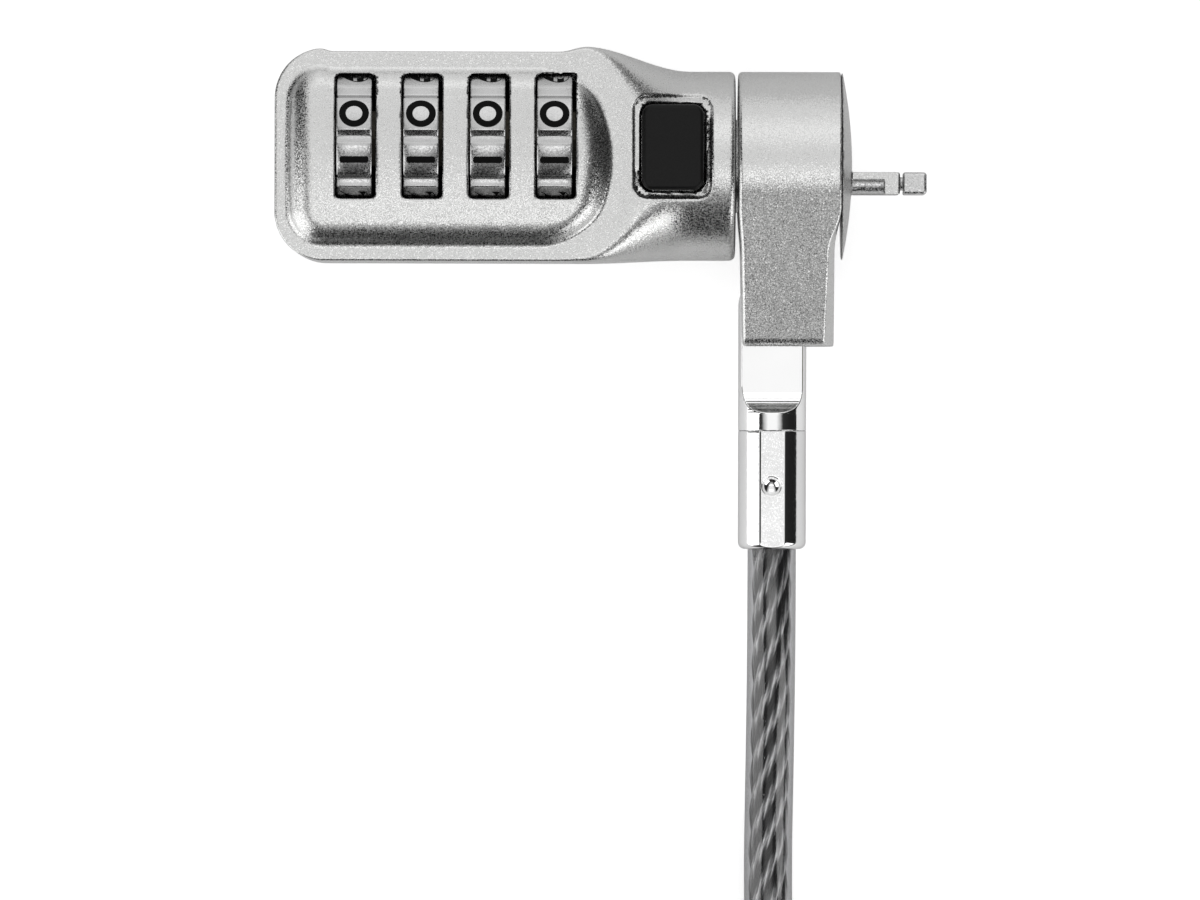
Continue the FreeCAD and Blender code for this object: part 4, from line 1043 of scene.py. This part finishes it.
# Cable fitting and ferrule, both chromed. A turned bar milled flat on two sides for the collar's
# slot, and the sleeve pressed over its stub and the cable, with a crimped flat and a punch mark.
bar_radius = 3.8
stub_radius = 2.2
stub_end = -35.5
ferrule_start = -30.5
ferrule_end = -43.7
crimp_rise = 3.48
milled_to = -25.5
chrome = metal("polished_chrome", (0.84, 0.84, 0.84), 0.07, 0.25, 0.07, 0.14, cloud=0.03,
               edge=0.7)


def fitting_field(x, y, z):
    """The bar, its two flats that run out in the cutter's curve, its crown and the pin's hole."""
    across = np.abs(z - swivel_z)
    ring = np.hypot(x - pivot_x, z - swivel_z)
    cutter = 3.2 - np.hypot(y - milled_to, across - 4.9)
    milled = np.where(y > milled_to, across - 1.7, cutter)
    outline = np.where(y > pivot_y, np.hypot(x - pivot_x, y - pivot_y) - bar_radius,
                       ferrule_start - y)
    body = np.maximum(inside_round(ring - bar_radius, milled, 0.08), outline)
    stub = np.maximum(ring - stub_radius, slab(y, stub_end, -30))
    body = np.minimum(body, stub)
    return np.maximum(body, 1.6 - np.hypot(x - pivot_x, y - pivot_y))


def ferrule_field(x, y, z):
    """The sleeve with its rolled ends, crimped flat and punch mark."""
    ring = np.hypot(x - pivot_x, z - swivel_z)
    body = inside_round(inside_round(ring - bar_radius, ferrule_end - y, 0.8),
                        y - ferrule_start, 0.12)
    crimp = np.maximum(np.maximum(swivel_z + crimp_rise - z, np.abs(x - pivot_x) - 1.35),
                       slab(y, -43.9, -30.2))
    body = less(body, crimp, 0.05)
    mark = np.sqrt((x - 35.2) ** 2 + (y + 36.7) ** 2 + (z - swivel_z - 4.1) ** 2) - 1.25
    body = less(body, mark, 0.08)
    bore = np.maximum(ring - stub_radius, stub_end - y)
    return np.maximum(body, -bore)


milled_chrome = metal("milled_chrome", (0.96, 0.96, 0.96), 0.07, 0.4, 0.04, 0.1, cloud=0.03,
                      edge=0.7, cut=(-28.7, -26.2, 0.3))
fitting = cast_piece("blade_fitting", fitting_field, (31.4, -35.6, 6.7), (39.2, -12.8, 14.5),
                     0.14, milled_chrome)
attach(fitting, "cable_end")
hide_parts("cable_fitting")
crimp_sleeve = cast_piece("crimp_sleeve", ferrule_field, (31.4, -43.8, 6.7), (39.2, -30.4, 14.5),
                          0.14, chrome)
pressed = metal("pressed_chrome", (0.86, 0.86, 0.86), 0.14, 0.16, 0.5, 0.4, cloud=0.1)
crimp_sleeve.data.materials.append(pressed)
facing = np.empty(len(crimp_sleeve.data.polygons) * 3)
middles = np.empty_like(facing)
crimp_sleeve.data.polygons.foreach_get("normal", facing)
crimp_sleeve.data.polygons.foreach_get("center", middles)
facing_up = 0.999
on_flat = (facing[2::3] > facing_up) & (middles[2::3] > (swivel_z + crimp_rise - 0.08) * MM)
crimp_sleeve.data.polygons.foreach_set("material_index", on_flat.astype(np.int32))
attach(crimp_sleeve, "cable_end")
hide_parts("ferrule")

# Back cover, screws, eye sleeve and the works inside. A plated plate let into the back, steel
# screws, pins and springs, blackened brass sleeves and spindle, and an acetal saddle and slider.
steel = metal("inner_steel", (0.58, 0.58, 0.58), 0.25, 0.3, 0.25, 0.35)
brass = metal("inner_brass", (0.045, 0.041, 0.034), 0.35, 0.3, 0.3, 0.5)
acetal = speckled("inner_plastic", 2500, (0.09, 0.09, 0.1), (0.14, 0.14, 0.15), 0.45)
finishes = [
    (nickel, ["back_cover"]),
    (steel, ["cover_screws", "click_spring", "click_screws", "spindle_spring", "reset_screw",
             "t_bar_crank", "nose_pin", "pivot_pin", "loop_sleeve"]),
    (brass, ["spindle", "dial_sleeve_1", "dial_sleeve_2", "dial_sleeve_3", "dial_sleeve_4"]),
    (acetal, ["dial_saddle", "button_slider"]),
]
for material, nodes in finishes:
    for node in nodes:
        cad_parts[node].data.materials.clear()
        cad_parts[node].data.materials.append(material)

# Button spring. Steel wire wound in three turns between the case and the slider.
spring_x = button_x - 0.2
spring_low = 2.81
spring_high = 7.49
spring_radius = 1.9
spring_wire = 0.25
spring_turns = 3
spring_steps = 96
wire_sides = 10
share = np.linspace(0, 1, spring_steps + 1)
turn = 2 * math.pi * spring_turns * share
level = spring_low + spring_wire + (spring_high - spring_low - 2 * spring_wire) * share
out = np.stack([np.cos(turn), np.sin(turn), 0 * turn], axis=1)
wire_middle = (np.array((spring_x, button_y, 0)) + out * spring_radius
               + np.outer(level, (0, 0, 1))) * MM
wire_points = tube_points(wire_middle, out, np.array((0, 0, -1)), spring_wire, wire_sides)
coiled_wire = mesh_object("coiled_wire", wire_points, tube_faces(len(share), wire_sides), steel)
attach(coiled_wire, "lock_head")
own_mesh(coiled_wire)
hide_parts("button_spring")
